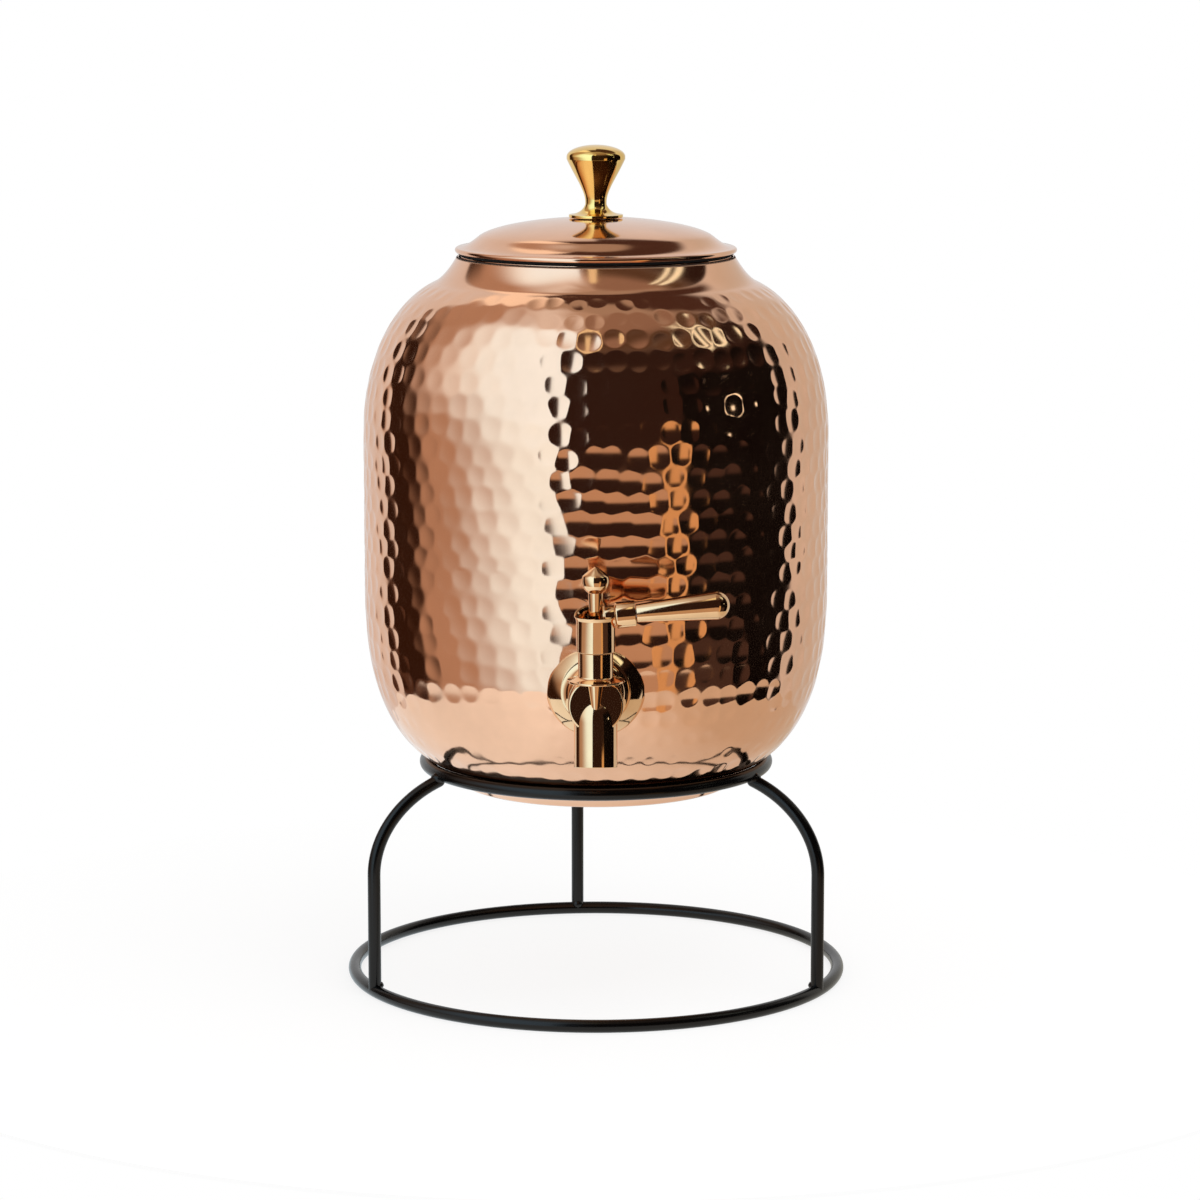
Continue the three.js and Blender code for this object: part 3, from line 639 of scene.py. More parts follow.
def tank_outline():
    """Outer side of the tank, in its own frame, from the middle of its foot to its mouth."""
    foot_end = FOOT_RADIUS + FOOT_ROUND_RUN
    foot_round = [(FOOT_RADIUS, 0), (FOOT_RADIUS + FOOT_ROUND_RUN * 0.7, 0), (foot_end, FOOT_ROUND_RISE)]
    underside = rounded_corner(
        (UNDERSIDE_CENTRE_RADIUS, UNDERSIDE_CENTRE_HEIGHT), TANK_RADIUS - UNDERSIDE_CENTRE_RADIUS, -UNDERSIDE_RISE,
        UNDERSIDE_EXPONENT, FOOT_CONE_RADIUS, CORNER_STEPS,
    )[::-1]
    shoulder = rounded_corner(
        (SHOULDER_CENTRE_RADIUS, SHOULDER_CENTRE_HEIGHT), TANK_RADIUS - SHOULDER_CENTRE_RADIUS, SHOULDER_RISE,
        SHOULDER_EXPONENT, MOUTH_RADIUS + NECK_RUN, CORNER_STEPS,
    )
    low = shoulder[-1]
    top = MOUTH_Z - FOOT_Z - TANK_WALL / 2
    bend = (MOUTH_RADIUS + NECK_RUN * NECK_RUN_SHARE, low[1] + (MOUTH_Z - FOOT_Z - low[1]) * (1 - NECK_RISE_SHARE))
    neck = pulled([low, bend, (MOUTH_RADIUS, top)], 24)
    return np.array([(0, 0), *pulled(foot_round, 6), *underside, *shoulder, *neck[1:]])


def resampled(outline, step):
    """Points along an outline at an even step, with the distance of each along it."""
    lengths = np.r_[0, np.cumsum(np.hypot(*np.diff(outline, axis=0).T))]
    count = int(lengths[-1] / step)
    along = np.linspace(0, lengths[-1], count + 1)
    return np.c_[np.interp(along, lengths, outline[:, 0]), np.interp(along, lengths, outline[:, 1])], along


def hammer_depth(points, along, settings):
    """Depth of the dents below the plain outline, for each ring and segment."""
    rng = np.random.default_rng(SEED)
    turns = np.linspace(0, 2 * np.pi, TANK_SEGMENTS, endpoint=False)
    total = np.ones((len(points), TANK_SEGMENTS))
    side = (np.degrees(turns) + 270) % 360 - 180
    sigma = SMOOTH_SIGMA / np.interp(side, *zip(*LIGHT_BLOWS))
    start = np.interp(HAMMER_START, points[:, 1], along)
    end = np.interp(HAMMER_END, points[:, 1], along)
    rows = round((end - start) / settings.row_pitch)
    spacings = 1 + rng.uniform(*ROW_SPREAD, rows)
    centres = start + (np.cumsum(spacings) - spacings / 2) * (end - start) / spacings.sum()
    reach = settings.dent_radius * DENT_REACH
    phase = 0.0
    for centre in centres:
        radius = np.interp(centre, along, points[:, 0])
        count = round(2 * math.pi * radius / settings.pitch)
        share = 2 * math.pi / count
        phase += share / 2 + rng.normal(0, PHASE_SPREAD) * share
        level = np.interp(centre, along, points[:, 1])
        fade = np.interp(level, *zip(*ROW_BLOWS))
        azimuth = (np.degrees(phase + np.arange(count) * share) + 270) % 360 - 180
        widened = np.interp(level, *zip(*OVAL_ROWS)) * np.interp(azimuth, *zip(*OVAL_SIDES))
        oval = 1 + (settings.oval - 1) * widened
        stray_turn = rng.normal(0, settings.wander, count)
        stray_rise = rng.normal(0, settings.wander / oval, count)
        dent = settings.dent_radius * (1 + rng.normal(0, DENT_SPREAD, count)) * math.sqrt(fade)
        hammer = settings.hammer_radius * (1 + rng.normal(0, FACE_SPREAD, count))
        lean_turn = rng.normal(0, DENT_LEAN, count)
        lean_rise = rng.normal(0, DENT_LEAN, count) + rng.normal(0, ROW_LEAN)
        hammer = hammer / np.interp(azimuth, *zip(*LIGHT_BLOWS))
        depth = dent**2 / (2 * hammer)
        near = np.flatnonzero(np.abs(along - centre) < reach)
        nearest = np.round((turns - phase) / share).astype(int)
        for offset in (-1, 0, 1):
            k = (nearest + offset) % count
            across = (turns - phase - (nearest + offset) * share)[None, :] * points[near, 0][:, None]
            across = across - stray_turn[k][None, :]
            up = (along[near] - centre)[:, None] - stray_rise[k][None, :]
            bowl = ((across / oval[k][None, :]) ** 2 + up**2) / (2 * hammer[k])[None, :]
            height = bowl - depth[k][None, :] + across * lean_turn[k][None, :] + up * lean_rise[k][None, :]
            total[near] += np.exp(-np.clip(height / sigma, -30, 30))
    return sigma * np.log(total)


class DISPENSER_OT_tank(Operator):
    """Builds the hammered copper tank"""

    bl_idname = "dispenser.tank"
    bl_label = "Hammered Tank"

    def execute(self, context):
        points, along = resampled(tank_outline(), TANK_STEP)
        tangent = np.gradient(points, axis=0)
        tangent /= np.hypot(*tangent.T)[:, None]
        normal = np.c_[tangent[:, 1], -tangent[:, 0]]
        depth = hammer_depth(points, along, context.scene.dispenser_tank)
        turns = np.linspace(0, 2 * np.pi, TANK_SEGMENTS, endpoint=False)

        def ring(radius, height):
            """Vertices of a ring, whose radius and height may change from segment to segment."""
            height = np.broadcast_to(height + FOOT_Z, TANK_SEGMENTS)
            return np.c_[radius * np.cos(turns), radius * np.sin(turns) + AXIS_Y, height]

        def wall_ring(i, drop):
            """Vertices of ring i, set below the plain outline by a distance."""
            return ring(points[i, 0] - normal[i, 0] * drop, points[i, 1] - normal[i, 1] * drop)

        last = len(points) - 1
        first = int(np.searchsorted(along, FLAT_STEPS * TANK_STEP))
        rings = [wall_ring(i, depth[i]) for i in range(first, last + 1)]
        centre = points[last] - normal[last] * TANK_WALL / 2
        rings += [ring(*point) for point in arc(centre, TANK_WALL / 2, TANK_WALL / 2, 30, 150, 4)]
        rings += [wall_ring(i, depth[i] + TANK_WALL) for i in range(last, first - 1, -INNER_RING_STEP)]
        vertices = np.vstack(rings + [[(0, AXIS_Y, FOOT_Z), (0, AXIS_Y, FOOT_Z + TANK_WALL)]])
        starts = [i * TANK_SEGMENTS for i in range(len(rings))]
        faces = []
        for low, high in zip(starts, starts[1:]):
            faces += ring_faces(low, high, TANK_SEGMENTS)
        faces += end_faces(len(rings) * TANK_SEGMENTS, starts[-1], TANK_SEGMENTS)
        # Painted shade on the mouth's lip, where the lid's rim sits: the top outer ring and the first rings of the
        # lip's round.
        crevice_shade = np.zeros(len(vertices))
        crevice_shade[starts[last - first]:starts[last - first + CREVICE_RINGS]] = 1
        add_piece("hammered_tank", vertices.tolist(), faces, "tank", TANK_NODES, "hammered_copper", crevice_shade=crevice_shade)
        return {"FINISHED"}


# Lid and knob.


def lid_section():
    """Section of the lid's cover, top and underside, from its screw hole out to the rim and back."""
    foot = LID_RIM + LID_FLANGE_RISE + LID_STEP_RISE
    dome = rounded_corner((0, foot), LID_DOME_RADIUS, LID_DOME_RISE, LID_DOME_EXPONENT, LID_LAND_RADIUS, 48)[::-1]
    top = [(SCREW_BORE, foot + LID_DOME_RISE), *[(r, z) for r, z in dome if r < LID_DOME_END]]
    end, before = top[-1], top[-2]
    slope = (end[1] - before[1]) / (end[0] - before[0])
    sweep = [
        end,
        (end[0] + LID_SWEEP_LEAD, end[1] + LID_SWEEP_LEAD * slope),
        (LID_RADIUS - LID_RIM_WIDTH * 1.6, LID_RIM + LID_FLANGE_RISE * 0.6),
        (LID_RADIUS - LID_RIM_WIDTH * 0.5, LID_RIM),
    ]
    half = (LID_RIM - LID_CREVICE) / 2
    rim = arc((LID_RADIUS - half, LID_CREVICE + half), half, half, 90, -90, 16)
    groove = [(LID_RADIUS - LID_CREVICE_DEPTH, LID_CREVICE), (LID_RADIUS - LID_CREVICE_DEPTH, 0)]
    under = [(r, z - LID_WALL) for r, z in top]
    under += [(LID_DOME_RADIUS - LID_WALL, foot - LID_WALL), (LID_RADIUS - LID_RIM_WIDTH, LID_RIM - LID_WALL)]
    return [*top, *pulled(sweep, 20)[1:], *rim[1:], *groove, (LID_RADIUS - LID_RIM_WIDTH, 0), *under[::-1]]


CREVICE_MARGIN = 0.3 * MM


def in_crevice(radius, height):
    """Whether a point of the lid lies in the narrow hollow under its rim, where shade is painted."""
    return height < LID_CREVICE + CREVICE_MARGIN and radius < LID_RADIUS - CREVICE_MARGIN


class DISPENSER_OT_lid(Operator):
    """Builds the domed lid and its ring"""

    bl_idname = "dispenser.lid"
    bl_label = "Domed Lid"

    def execute(self, context):
        cover = softened(lid_section(), EDGE_ROUND, closed=True)
        outer = MOUTH_RADIUS - TANK_WALL - LID_RING_CLEARANCE
        inner = outer - LID_RING_WALL
        low, high = -PIECE_GAP - LID_RING_DEPTH, -PIECE_GAP
        ring = softened([(inner, low), (outer, low), (outer, high), (inner, high)], EDGE_ROUND, closed=True)
        # The hollow under the rim gets painted shade.
        turned_piece(
            "domed_lid", cover, RING_SEGMENTS, LID_PLACE, "lid", "lid_cover", "polished_copper", hollow=in_crevice
        )
        turned_piece("lid_plug_ring", ring, RING_SEGMENTS, LID_PLACE, "lid", "lid_locating_ring", "polished_copper")
        return {"FINISHED"}


def knob_section():
    """Section of the knob: foot disc, flare, waist, trumpet and mushroom cap."""
    bottom = LID_TOP_Z - LID_Z
    bore_top = bottom + SCREW_BORE_DEPTH
    foot_top = bottom + PIECE_GAP + KNOB_FOOT_THICKNESS
    waist = foot_top + KNOB_FLARE_RISE
    trumpet_foot = waist + KNOB_WAIST_LENGTH
    cap_foot = trumpet_foot + KNOB_TRUMPET_RISE
    flare_run = KNOB_FOOT_RADIUS - KNOB_WAIST_RADIUS
    cap_run = KNOB_CAP_RADIUS - KNOB_WAIST_RADIUS
    flare = [
        (KNOB_FOOT_RADIUS, foot_top),
        (KNOB_WAIST_RADIUS + flare_run * 0.2, foot_top + KNOB_FLARE_RISE * 0.08),
        (KNOB_WAIST_RADIUS, waist),
    ]
    trumpet = [
        (KNOB_WAIST_RADIUS, trumpet_foot),
        (KNOB_WAIST_RADIUS, trumpet_foot + KNOB_TRUMPET_RISE * 0.26),
        (KNOB_WAIST_RADIUS + cap_run * 0.53, trumpet_foot + KNOB_TRUMPET_RISE * 0.56),
        (KNOB_CAP_RADIUS, cap_foot),
    ]
    cap = arc((0, cap_foot + KNOB_CAP_RISE * 0.18), KNOB_CAP_RADIUS, KNOB_CAP_RISE * 0.82, 0, 90, 16)
    base = [(0, bore_top), (SCREW_BORE, bore_top), (SCREW_BORE, bottom), (KNOB_FOOT_RADIUS, bottom)]
    return [*base, *pulled(flare, 12), *pulled(trumpet, 20), *cap[:-1], (0, cap_foot + KNOB_CAP_RISE)]


class DISPENSER_OT_knob(Operator):
    """Builds the gold brass knob"""

    bl_idname = "dispenser.knob"
    bl_label = "Brass Knob"

    def execute(self, context):
        section = softened(knob_section(), context.scene.dispenser_fittings.edge_round)
        turned_piece("trumpet_knob", section, SMALL_SEGMENTS, LID_PLACE, "lid", "lid_knob", "gold_brass")
        return {"FINISHED"}


# Tap.


SHARP_EDGE = math.radians(32)


def united(name, parts, cutters, body, node, slot, finish=None):
    """One piece made of overlapping solids joined together, with others cut away from it."""
    base = add_piece(name, *parts[0], body, (node,), slot, finish)
    helpers = []
    for (vertices, faces), operation in [(p, "UNION") for p in parts[1:]] + [(c, "DIFFERENCE") for c in cutters]:
        mesh = bpy.data.meshes.new(name + "_helper")
        mesh.from_pydata(vertices, [], faces)
        helper = bpy.data.objects.new(name + "_helper", mesh)
        bpy.context.scene.collection.objects.link(helper)
        helpers.append(helper)
        modifier = base.modifiers.new(operation, "BOOLEAN")
        modifier.operation = operation
        modifier.object = helper
        modifier.solver = "MANIFOLD"
    bpy.context.view_layer.update()
    evaluated = base.evaluated_get(bpy.context.evaluated_depsgraph_get())
    mesh = bpy.data.meshes.new_from_object(evaluated)
    base.modifiers.clear()
    base.data = mesh
    mesh.shade_smooth()
    mesh.set_sharp_from_angle(angle=SHARP_EDGE)
    for helper in helpers:
        helper_mesh = helper.data
        bpy.data.objects.remove(helper)
        bpy.data.meshes.remove(helper_mesh)
    return base


def placed(section, place, segments=SMALL_SEGMENTS):
    """Vertices and faces of a turned section in its place."""
    vertices, faces = turned_mesh(section, segments)
    return [place @ v for v in vertices], faces


def bar(radius, low, high):
    """Section of a plain round bar."""
    return [(0, low), (radius, low), (radius, high), (0, high)]


def drum_front():
    """Vertices and faces of the barrel's front, a drum with a face that leans back and a top kept under the brim."""
    edge = FRONT_EDGE
    corner = arc((FRONT_RADIUS - edge, FRONT_REACH - edge), edge, edge, 0, 90, 8)
    section = [(0, -FRONT_BACK), (FRONT_RADIUS, -FRONT_BACK), *corner, (0, FRONT_REACH)]
    vertices, faces = turned_mesh(section, SMALL_SEGMENTS)
    moved = []
    for v in vertices:
        height = min(v.y, BRIM_HEIGHT - FRONT_TOP_GAP)
        moved.append(Vector((v.x, VALVE_Y - v.z + height * FRONT_LEAN, TAP_Z + height)))
    return moved, [face[::-1] for face in faces]


def front_rib():
    """Vertices and faces of the rib on the drum's front, which tapers down to the spout."""
    section = [(0, -RIB_DROP), (RIB_LOW_RADIUS, -RIB_DROP), (RIB_TOP_RADIUS, BRIM_HEIGHT), (0, BRIM_HEIGHT)]
    vertices, faces = turned_mesh(section, 48)
    return [Vector((v.x, v.y + VALVE_Y - FRONT_REACH + v.z * FRONT_LEAN, v.z + TAP_Z)) for v in vertices], faces


def crowned_spout(edge):
    """Vertices and faces of the spout, whose upper end is a pointed dome in front of the drum."""
    crown = arc((0, SPOUT_CROWN), SPOUT_RADIUS, SPOUT_CROWN_RISE, -90, 0, 24)
    end = softened(bar(SPOUT_RADIUS, 0, SPOUT_LENGTH), edge)
    return placed([*crown, *end[-6:]], SPOUT_PLACE)


def barrel_section():
    """Section of the shank, the bell shaped flange and the barrel, along the tap's level axis."""
    back = CUP_DEPTH + PIECE_GAP
    barrel_start = back + BELL_EDGE + BELL_DEPTH
    bell = arc((BELL_RADIUS, barrel_start), BELL_RADIUS - BARREL_RADIUS, BELL_DEPTH, 270, 180, 16)
    shank = [(0, -SHANK_LENGTH), (SHANK_RADIUS, -SHANK_LENGTH), (SHANK_RADIUS, back)]
    return [*shank, (BELL_RADIUS, back), *bell, (BARREL_RADIUS, TAP_REACH), (0, TAP_REACH)]


def chamber_section():
    """Section of the valve chamber and the brim at its foot, along the valve's axis."""
    root = CHAMBER_RADIUS - 1 * MM
    low = BRIM_HEIGHT - 2 * MM
    edge = BRIM_HEIGHT + BRIM_THICKNESS
    slope = [(BRIM_RADIUS, edge), (CHAMBER_RADIUS + 0.6 * MM, edge + 0.4 * MM), (CHAMBER_RADIUS, edge + BRIM_SLOPE)]
    foot = [(0, low), (root, low), (root, BRIM_HEIGHT), (BRIM_RADIUS, BRIM_HEIGHT)]
    return [*foot, *pulled(slope, 8), (CHAMBER_RADIUS, CHAMBER_TOP), (0, CHAMBER_TOP)]


class DISPENSER_OT_tap_body(Operator):
    """Builds the tap's casting: flange, barrel, valve chamber and spout"""

    bl_idname = "dispenser.tap_body"
    bl_label = "Tap Body"

    def execute(self, context):
        edge = context.scene.dispenser_fittings.edge_round
        parts = [
            placed(softened(barrel_section(), edge), TAP_PLACE),
            drum_front(),
            front_rib(),
            placed(softened(chamber_section(), edge), VALVE_PLACE),
            crowned_spout(edge),
        ]
        top = CHAMBER_TOP + CUT_EXTRA
        mouth = SPOUT_LENGTH + CUT_EXTRA
        cutters = [
            placed(bar(PASSAGE_RADIUS, -SHANK_LENGTH - CUT_EXTRA, TAP_REACH), TAP_PLACE, 48),
            placed(bar(VALVE_BORE, VALVE_BORE_LOW, top), VALVE_PLACE, 64),
            placed(bar(GLAND_BORE, GLAND_BORE_LOW, top), VALVE_PLACE, 64),
            placed(bar(OUTLET_BORE, *OUTLET_ENDS), SPOUT_PLACE, 48),
            placed(bar(SPOUT_RADIUS - SPOUT_WALL, SPOUT_BORE_START, mouth), SPOUT_PLACE, 96),
        ]
        united("tap_casting", parts, cutters, "tank", "tap_body", "polished_copper", "tap_copper")
        return {"FINISHED"}


class DISPENSER_OT_escutcheon(Operator):
    """Builds the round cup between the tap and the tank"""

    bl_idname = "dispenser.escutcheon"
    bl_label = "Escutcheon"

    def execute(self, context):
        hole = SHANK_RADIUS + PIECE_GAP
        low, high = CUP_LEANS
        centre = (
            CUP_RADIUS - CUP_BULGE * math.cos(math.radians(low)),
            CUP_DEPTH - CUP_BULGE * math.sin(math.radians(high)),
        )
        outside = [(CUP_RADIUS, -CUP_SKIRT), *arc(centre, CUP_BULGE, CUP_BULGE, low, high, 24), (hole, CUP_DEPTH)]
        inside = arc(centre, CUP_BULGE - CUP_WALL, CUP_BULGE - CUP_WALL, high, low, 24)
        section = softened(
            [*outside, (hole, CUP_DEPTH - CUP_WALL), *inside, (CUP_RADIUS - CUP_WALL, -CUP_SKIRT)],
            context.scene.dispenser_fittings.edge_round,
            closed=True,
        )
        tank = tank_outline()
        order = tank[:, 1].argsort()

        def meet_wall(vertex):
            """Pulls the skirt's end back to just inside the wall's outer face."""
            if vertex.z > -CUP_SKIRT * 0.5:
                return vertex
            height = TAP_Z - FOOT_Z + vertex.y
            radius = float(np.interp(height, tank[order, 1], tank[order, 0]))
            wall = AXIS_Y - math.sqrt(radius**2 - vertex.x**2)
            return Vector((vertex.x, vertex.y, WALL_Y - wall - CUP_OVERLAP + (vertex.z + CUP_SKIRT)))

        turned_piece(
            "wall_cup", section, SMALL_SEGMENTS, TAP_PLACE, "tank", "tap_escutcheon", "polished_copper",
            "tap_copper", meet_wall,
        )
        return {"FINISHED"}


class DISPENSER_OT_hub(Operator):
    """Builds the turning cup and the finial on top of the valve"""

    bl_idname = "dispenser.hub"
    bl_label = "Tap Hub"

    def execute(self, context):
        edge = context.scene.dispenser_fittings.edge_round
        top = HUB_FRONT + HUB_RIM_RISE
        inner = HUB_RADIUS - HUB_WALL
        recess = HUB_BOTTOM + HUB_RECESS
        outside = [
            (STEM_HOLE, recess), (HUB_RECESS_RADIUS, recess), (HUB_RECESS_RADIUS, HUB_BOTTOM), (HUB_RADIUS, HUB_BOTTOM),
            (HUB_RADIUS, top - 4.5 * MM), (HUB_RADIUS + 0.3 * MM, top - 2.5 * MM), (HUB_RADIUS + HUB_FLARE, top),
        ]
        inside = [(inner + HUB_FLARE, top), (inner, top - 3 * MM), (inner, HUB_FLOOR), (STEM_HOLE, HUB_FLOOR)]

        def rake(vertex):
            """Lowers the cup's rim at the front and lets it rise to the back."""
            share = max(0.0, (vertex.z - HUB_RAKE_START) / (top - HUB_RAKE_START))
            rise = HUB_RIM_RISE * max(0.0, vertex.y) / HUB_RADIUS
            return Vector((vertex.x, vertex.y, vertex.z - share * (HUB_RIM_RISE - rise)))

        vertices, faces = turned_mesh(softened([*outside, *inside], edge, closed=True), SMALL_SEGMENTS)
        shell = ([VALVE_PLACE @ rake(v) for v in vertices], faces)
        boss = placed(softened(bar(LEVER_BOSS, LEVER_BOSS_START, COLLAR_START - PIECE_GAP), edge), LEVER_PLACE, 64)
        bore = placed(bar(STUD_BORE, 0, COLLAR_START + 2 * MM), LEVER_PLACE, 32)
        united("valve_cup", [shell, boss], [bore], "tap_handle", "tap_hub", "polished_copper", "tap_copper")
        neck = math.degrees(math.acos(FINIAL_NECK / FINIAL_BALL))
        ball = arc((0, FINIAL_BALL_Z), FINIAL_BALL, FINIAL_BALL, -neck, FINIAL_CROWN_FOOT, 28)
        crown = [ball[-1], (3.6 * MM, FINIAL_BALL_Z + 5.4 * MM), (0, FINIAL_BALL_Z + FINIAL_BALL + 0.5 * MM)]
        bore_top = FINIAL_BOTTOM + STEM_BORE_DEPTH
        stem = [(0, bore_top), (STEM_BORE, bore_top), (STEM_BORE, FINIAL_BOTTOM), (FINIAL_STEM, FINIAL_BOTTOM)]
        finial = softened([*stem, *ball, *pulled(crown, 6)[1:]], edge, least=math.radians(30))
        turned_piece(
            "ball_finial", finial, 64, VALVE_PLACE, "tap_handle", "tap_finial", "polished_copper", "tap_copper"
        )
        return {"FINISHED"}


class DISPENSER_OT_lever(Operator):
    """Builds the lever's collar and teardrop handle"""

    bl_idname = "dispenser.lever"
    bl_label = "Tap Lever"

    def execute(self, context):
        edge = context.scene.dispenser_fittings.edge_round
        end = COLLAR_START + COLLAR_LENGTH
        collar = softened(
            [(STUD_BORE, COLLAR_START), (COLLAR_RADIUS, COLLAR_START), (COLLAR_RADIUS, end), (STUD_BORE, end)],
            edge * 2,
            closed=True,
        )
        start = end + PIECE_GAP
        bore_end = start + STUD_BORE_DEPTH
        tip = arc((0, start + HANDLE_LENGTH - HANDLE_TIP), HANDLE_TIP, HANDLE_TIP, 5, 90, 28)
        root = [(0, bore_end), (STUD_BORE, bore_end), (STUD_BORE, start), (HANDLE_ROOT, start)]
        handle = softened([*root, *tip[:-1], (0, start + HANDLE_LENGTH)], edge)
        for name, section, segments, node in (
            ("lever_collar", collar, 72, "tap_lever_collar"),
            ("teardrop_handle", handle, 96, "tap_lever_handle"),
        ):
            turned_piece(
                name, section, segments, LEVER_PLACE, "tap_handle", node, "polished_copper", "tap_copper"
            )
        return {"FINISHED"}


# Stand.


def leg_path():
    """Centre line of a leg as pairs of radius and height: straight up, then curving in under the top ring."""
    run = (BASE_RING_RADIUS - TOP_RING_RADIUS - LEG_JOIN_RUN) / (1 - math.cos(LEG_BEND_END))
    rise = LEG_BEND_RISE / math.sin(LEG_BEND_END)
    bend_z = TOP_RING_Z - LEG_JOIN_DROP - LEG_BEND_RISE
    straight = [(BASE_RING_RADIUS, REST_Z + (bend_z - REST_Z) * i / 12) for i in range(12)]
    return straight + [
        (BASE_RING_RADIUS - run * (1 - math.cos(a)), bend_z + rise * math.sin(a))
        for a in (LEG_BEND_END * i / 32 for i in range(33))
    ]


def around(point, turn):
    """Place of a pair of radius and height on the side of the stand that turn points to."""
    return (point[0] * math.cos(turn), point[0] * math.sin(turn) + AXIS_Y, point[1])


def bead(centre, stretch, turn):
    """Vertices and faces of a weld bead: a squashed ball with small ripples."""
    vertices, faces = turned_mesh(arc((0, 0), 1, 1, -90, 90, 16), 24)
    moved = []
    for v in vertices:
        ripple = 1 + BEAD_RIPPLE * math.sin(9 * v.x + 5 * v.z) * math.cos(7 * v.y)
        local = Vector((v.x * stretch[0], v.y * stretch[1], v.z * stretch[2])) * ripple
        moved.append(Vector(centre) + Matrix.Rotation(turn, 3, "Z") @ local)
    return moved, faces


class DISPENSER_OT_stand(Operator):
    """Builds the black wire stand"""

    bl_idname = "dispenser.stand"
    bl_label = "Wire Stand"

    def execute(self, context):
        size = context.scene.dispenser_stand.bead
        flat = math.degrees(math.acos(REST_Z / ROD_RADIUS))
        base = arc((BASE_RING_RADIUS, REST_Z), ROD_RADIUS, ROD_RADIUS, flat - 90, 270 - flat, ROD_SIDES)
        top = arc((TOP_RING_RADIUS, TOP_RING_Z), ROD_RADIUS, ROD_RADIUS, 0, 360, ROD_SIDES)[1:]
        centre = Matrix.Translation((0, AXIS_Y, 0))
        turned_piece("floor_ring", base, RING_SEGMENTS, centre, "stand", "stand_base_ring", "black_steel")
        turned_piece("tank_ring", top, RING_SEGMENTS, centre, "stand", "stand_top_ring", "black_steel")
        foot = (BASE_RING_RADIUS - ROD_RADIUS * 0.4, ROD_RADIUS * 1.75)
        head = (TOP_RING_RADIUS + ROD_RADIUS * 0.5, TOP_RING_Z - ROD_RADIUS * 0.5)
        ball = arc((0, 0), ROD_RADIUS, ROD_RADIUS, -90, 90, 16)
        for name, azimuth in LEG_AZIMUTHS.items():
            turn = math.radians(azimuth)
            path = [around(point, turn) for point in leg_path()]
            parts = [
                swept_rod(path, ROD_RADIUS, ROD_SIDES),
                placed(ball, Matrix.Translation(path[-1]), ROD_SIDES),
                bead(around(foot, turn), [size * share for share in FOOT_BEAD], turn),
                bead(around(head, turn), [size * share for share in HEAD_BEAD], turn),
            ]
            united("bent_leg_" + name, parts, [], "stand", "stand_leg_" + name, "black_steel")
        return {"FINISHED"}


# Small fittings that keep the frame's shape.

FITTING_SLOTS = {
    "dark_rubber": ("tap_outer_gasket", "tap_inner_gasket", "tap_plug_seal_upper", "tap_plug_seal_lower"),
    "zinc_steel": ("tap_inner_washer", "tap_lever_stud", "lid_knob_screw", "lid_knob_washer"),
    "plain_brass": ("tap_shank_nut", "tap_gland_ring", "tap_plug"),
    "white_plastic": ("tap_glide_washer",),
}


class DISPENSER_OT_fittings(Operator):
    """Gives the seals, washers, nut, screw and valve plug their finishes"""

    bl_idname = "dispenser.fittings"
    bl_label = "Small Fittings"

    def execute(self, context):
        for slot, names in FITTING_SLOTS.items():
            for name in names:
                for material_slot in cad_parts[name].material_slots:
                    material_slot.material = finish_of(slot)
        return {"FINISHED"}


# Studio.


PATCH_SOCKETS = (
    "Left", "Right", "Bottom", "Top", "Left Slant", "Right Slant", "Tilt",
    "Soft Left", "Soft Right", "Soft Bottom", "Soft Top",
)


def patch_group():
    """A soft-edged patch of the studio, by azimuth and elevation in degrees."""
    labels = ("Azimuth", "Elevation", *PATCH_SOCKETS)
    group, given, result = new_group("studio_patch", dict.fromkeys(labels, 0.0), ("Mask",))

    def edge(value, level, softness, rising):
        """Rises, or falls, from 0 to 1 where the value passes the level."""
        share = math_node(group, "DIVIDE", math_node(group, "SUBTRACT", value, level), softness)
        ends = {"From Min": -0.5, "From Max": 0.5, "To Min": float(not rising), "To Max": float(rising)}
        return ranged(group, share, ends, interpolation_type="SMOOTHSTEP")

    azimuth, elevation = given["Azimuth"], given["Elevation"]
    left = math_node(group, "MULTIPLY_ADD", elevation, given["Left Slant"], given["Left"])
    right = math_node(group, "MULTIPLY_ADD", elevation, given["Right Slant"], given["Right"])
    level = math_node(group, "SUBTRACT", elevation, math_node(group, "MULTIPLY", azimuth, given["Tilt"]))
    mask = edge(azimuth, left, given["Soft Left"], True)
    for value, limit, softness, rising in (
        (azimuth, right, "Soft Right", False),
        (level, given["Bottom"], "Soft Bottom", True),
        (level, given["Top"], "Soft Top", False),
    ):
        mask = math_node(group, "MULTIPLY", mask, edge(value, limit, given[softness], rising))
    feed(group, result, {"Mask": mask})
    return group


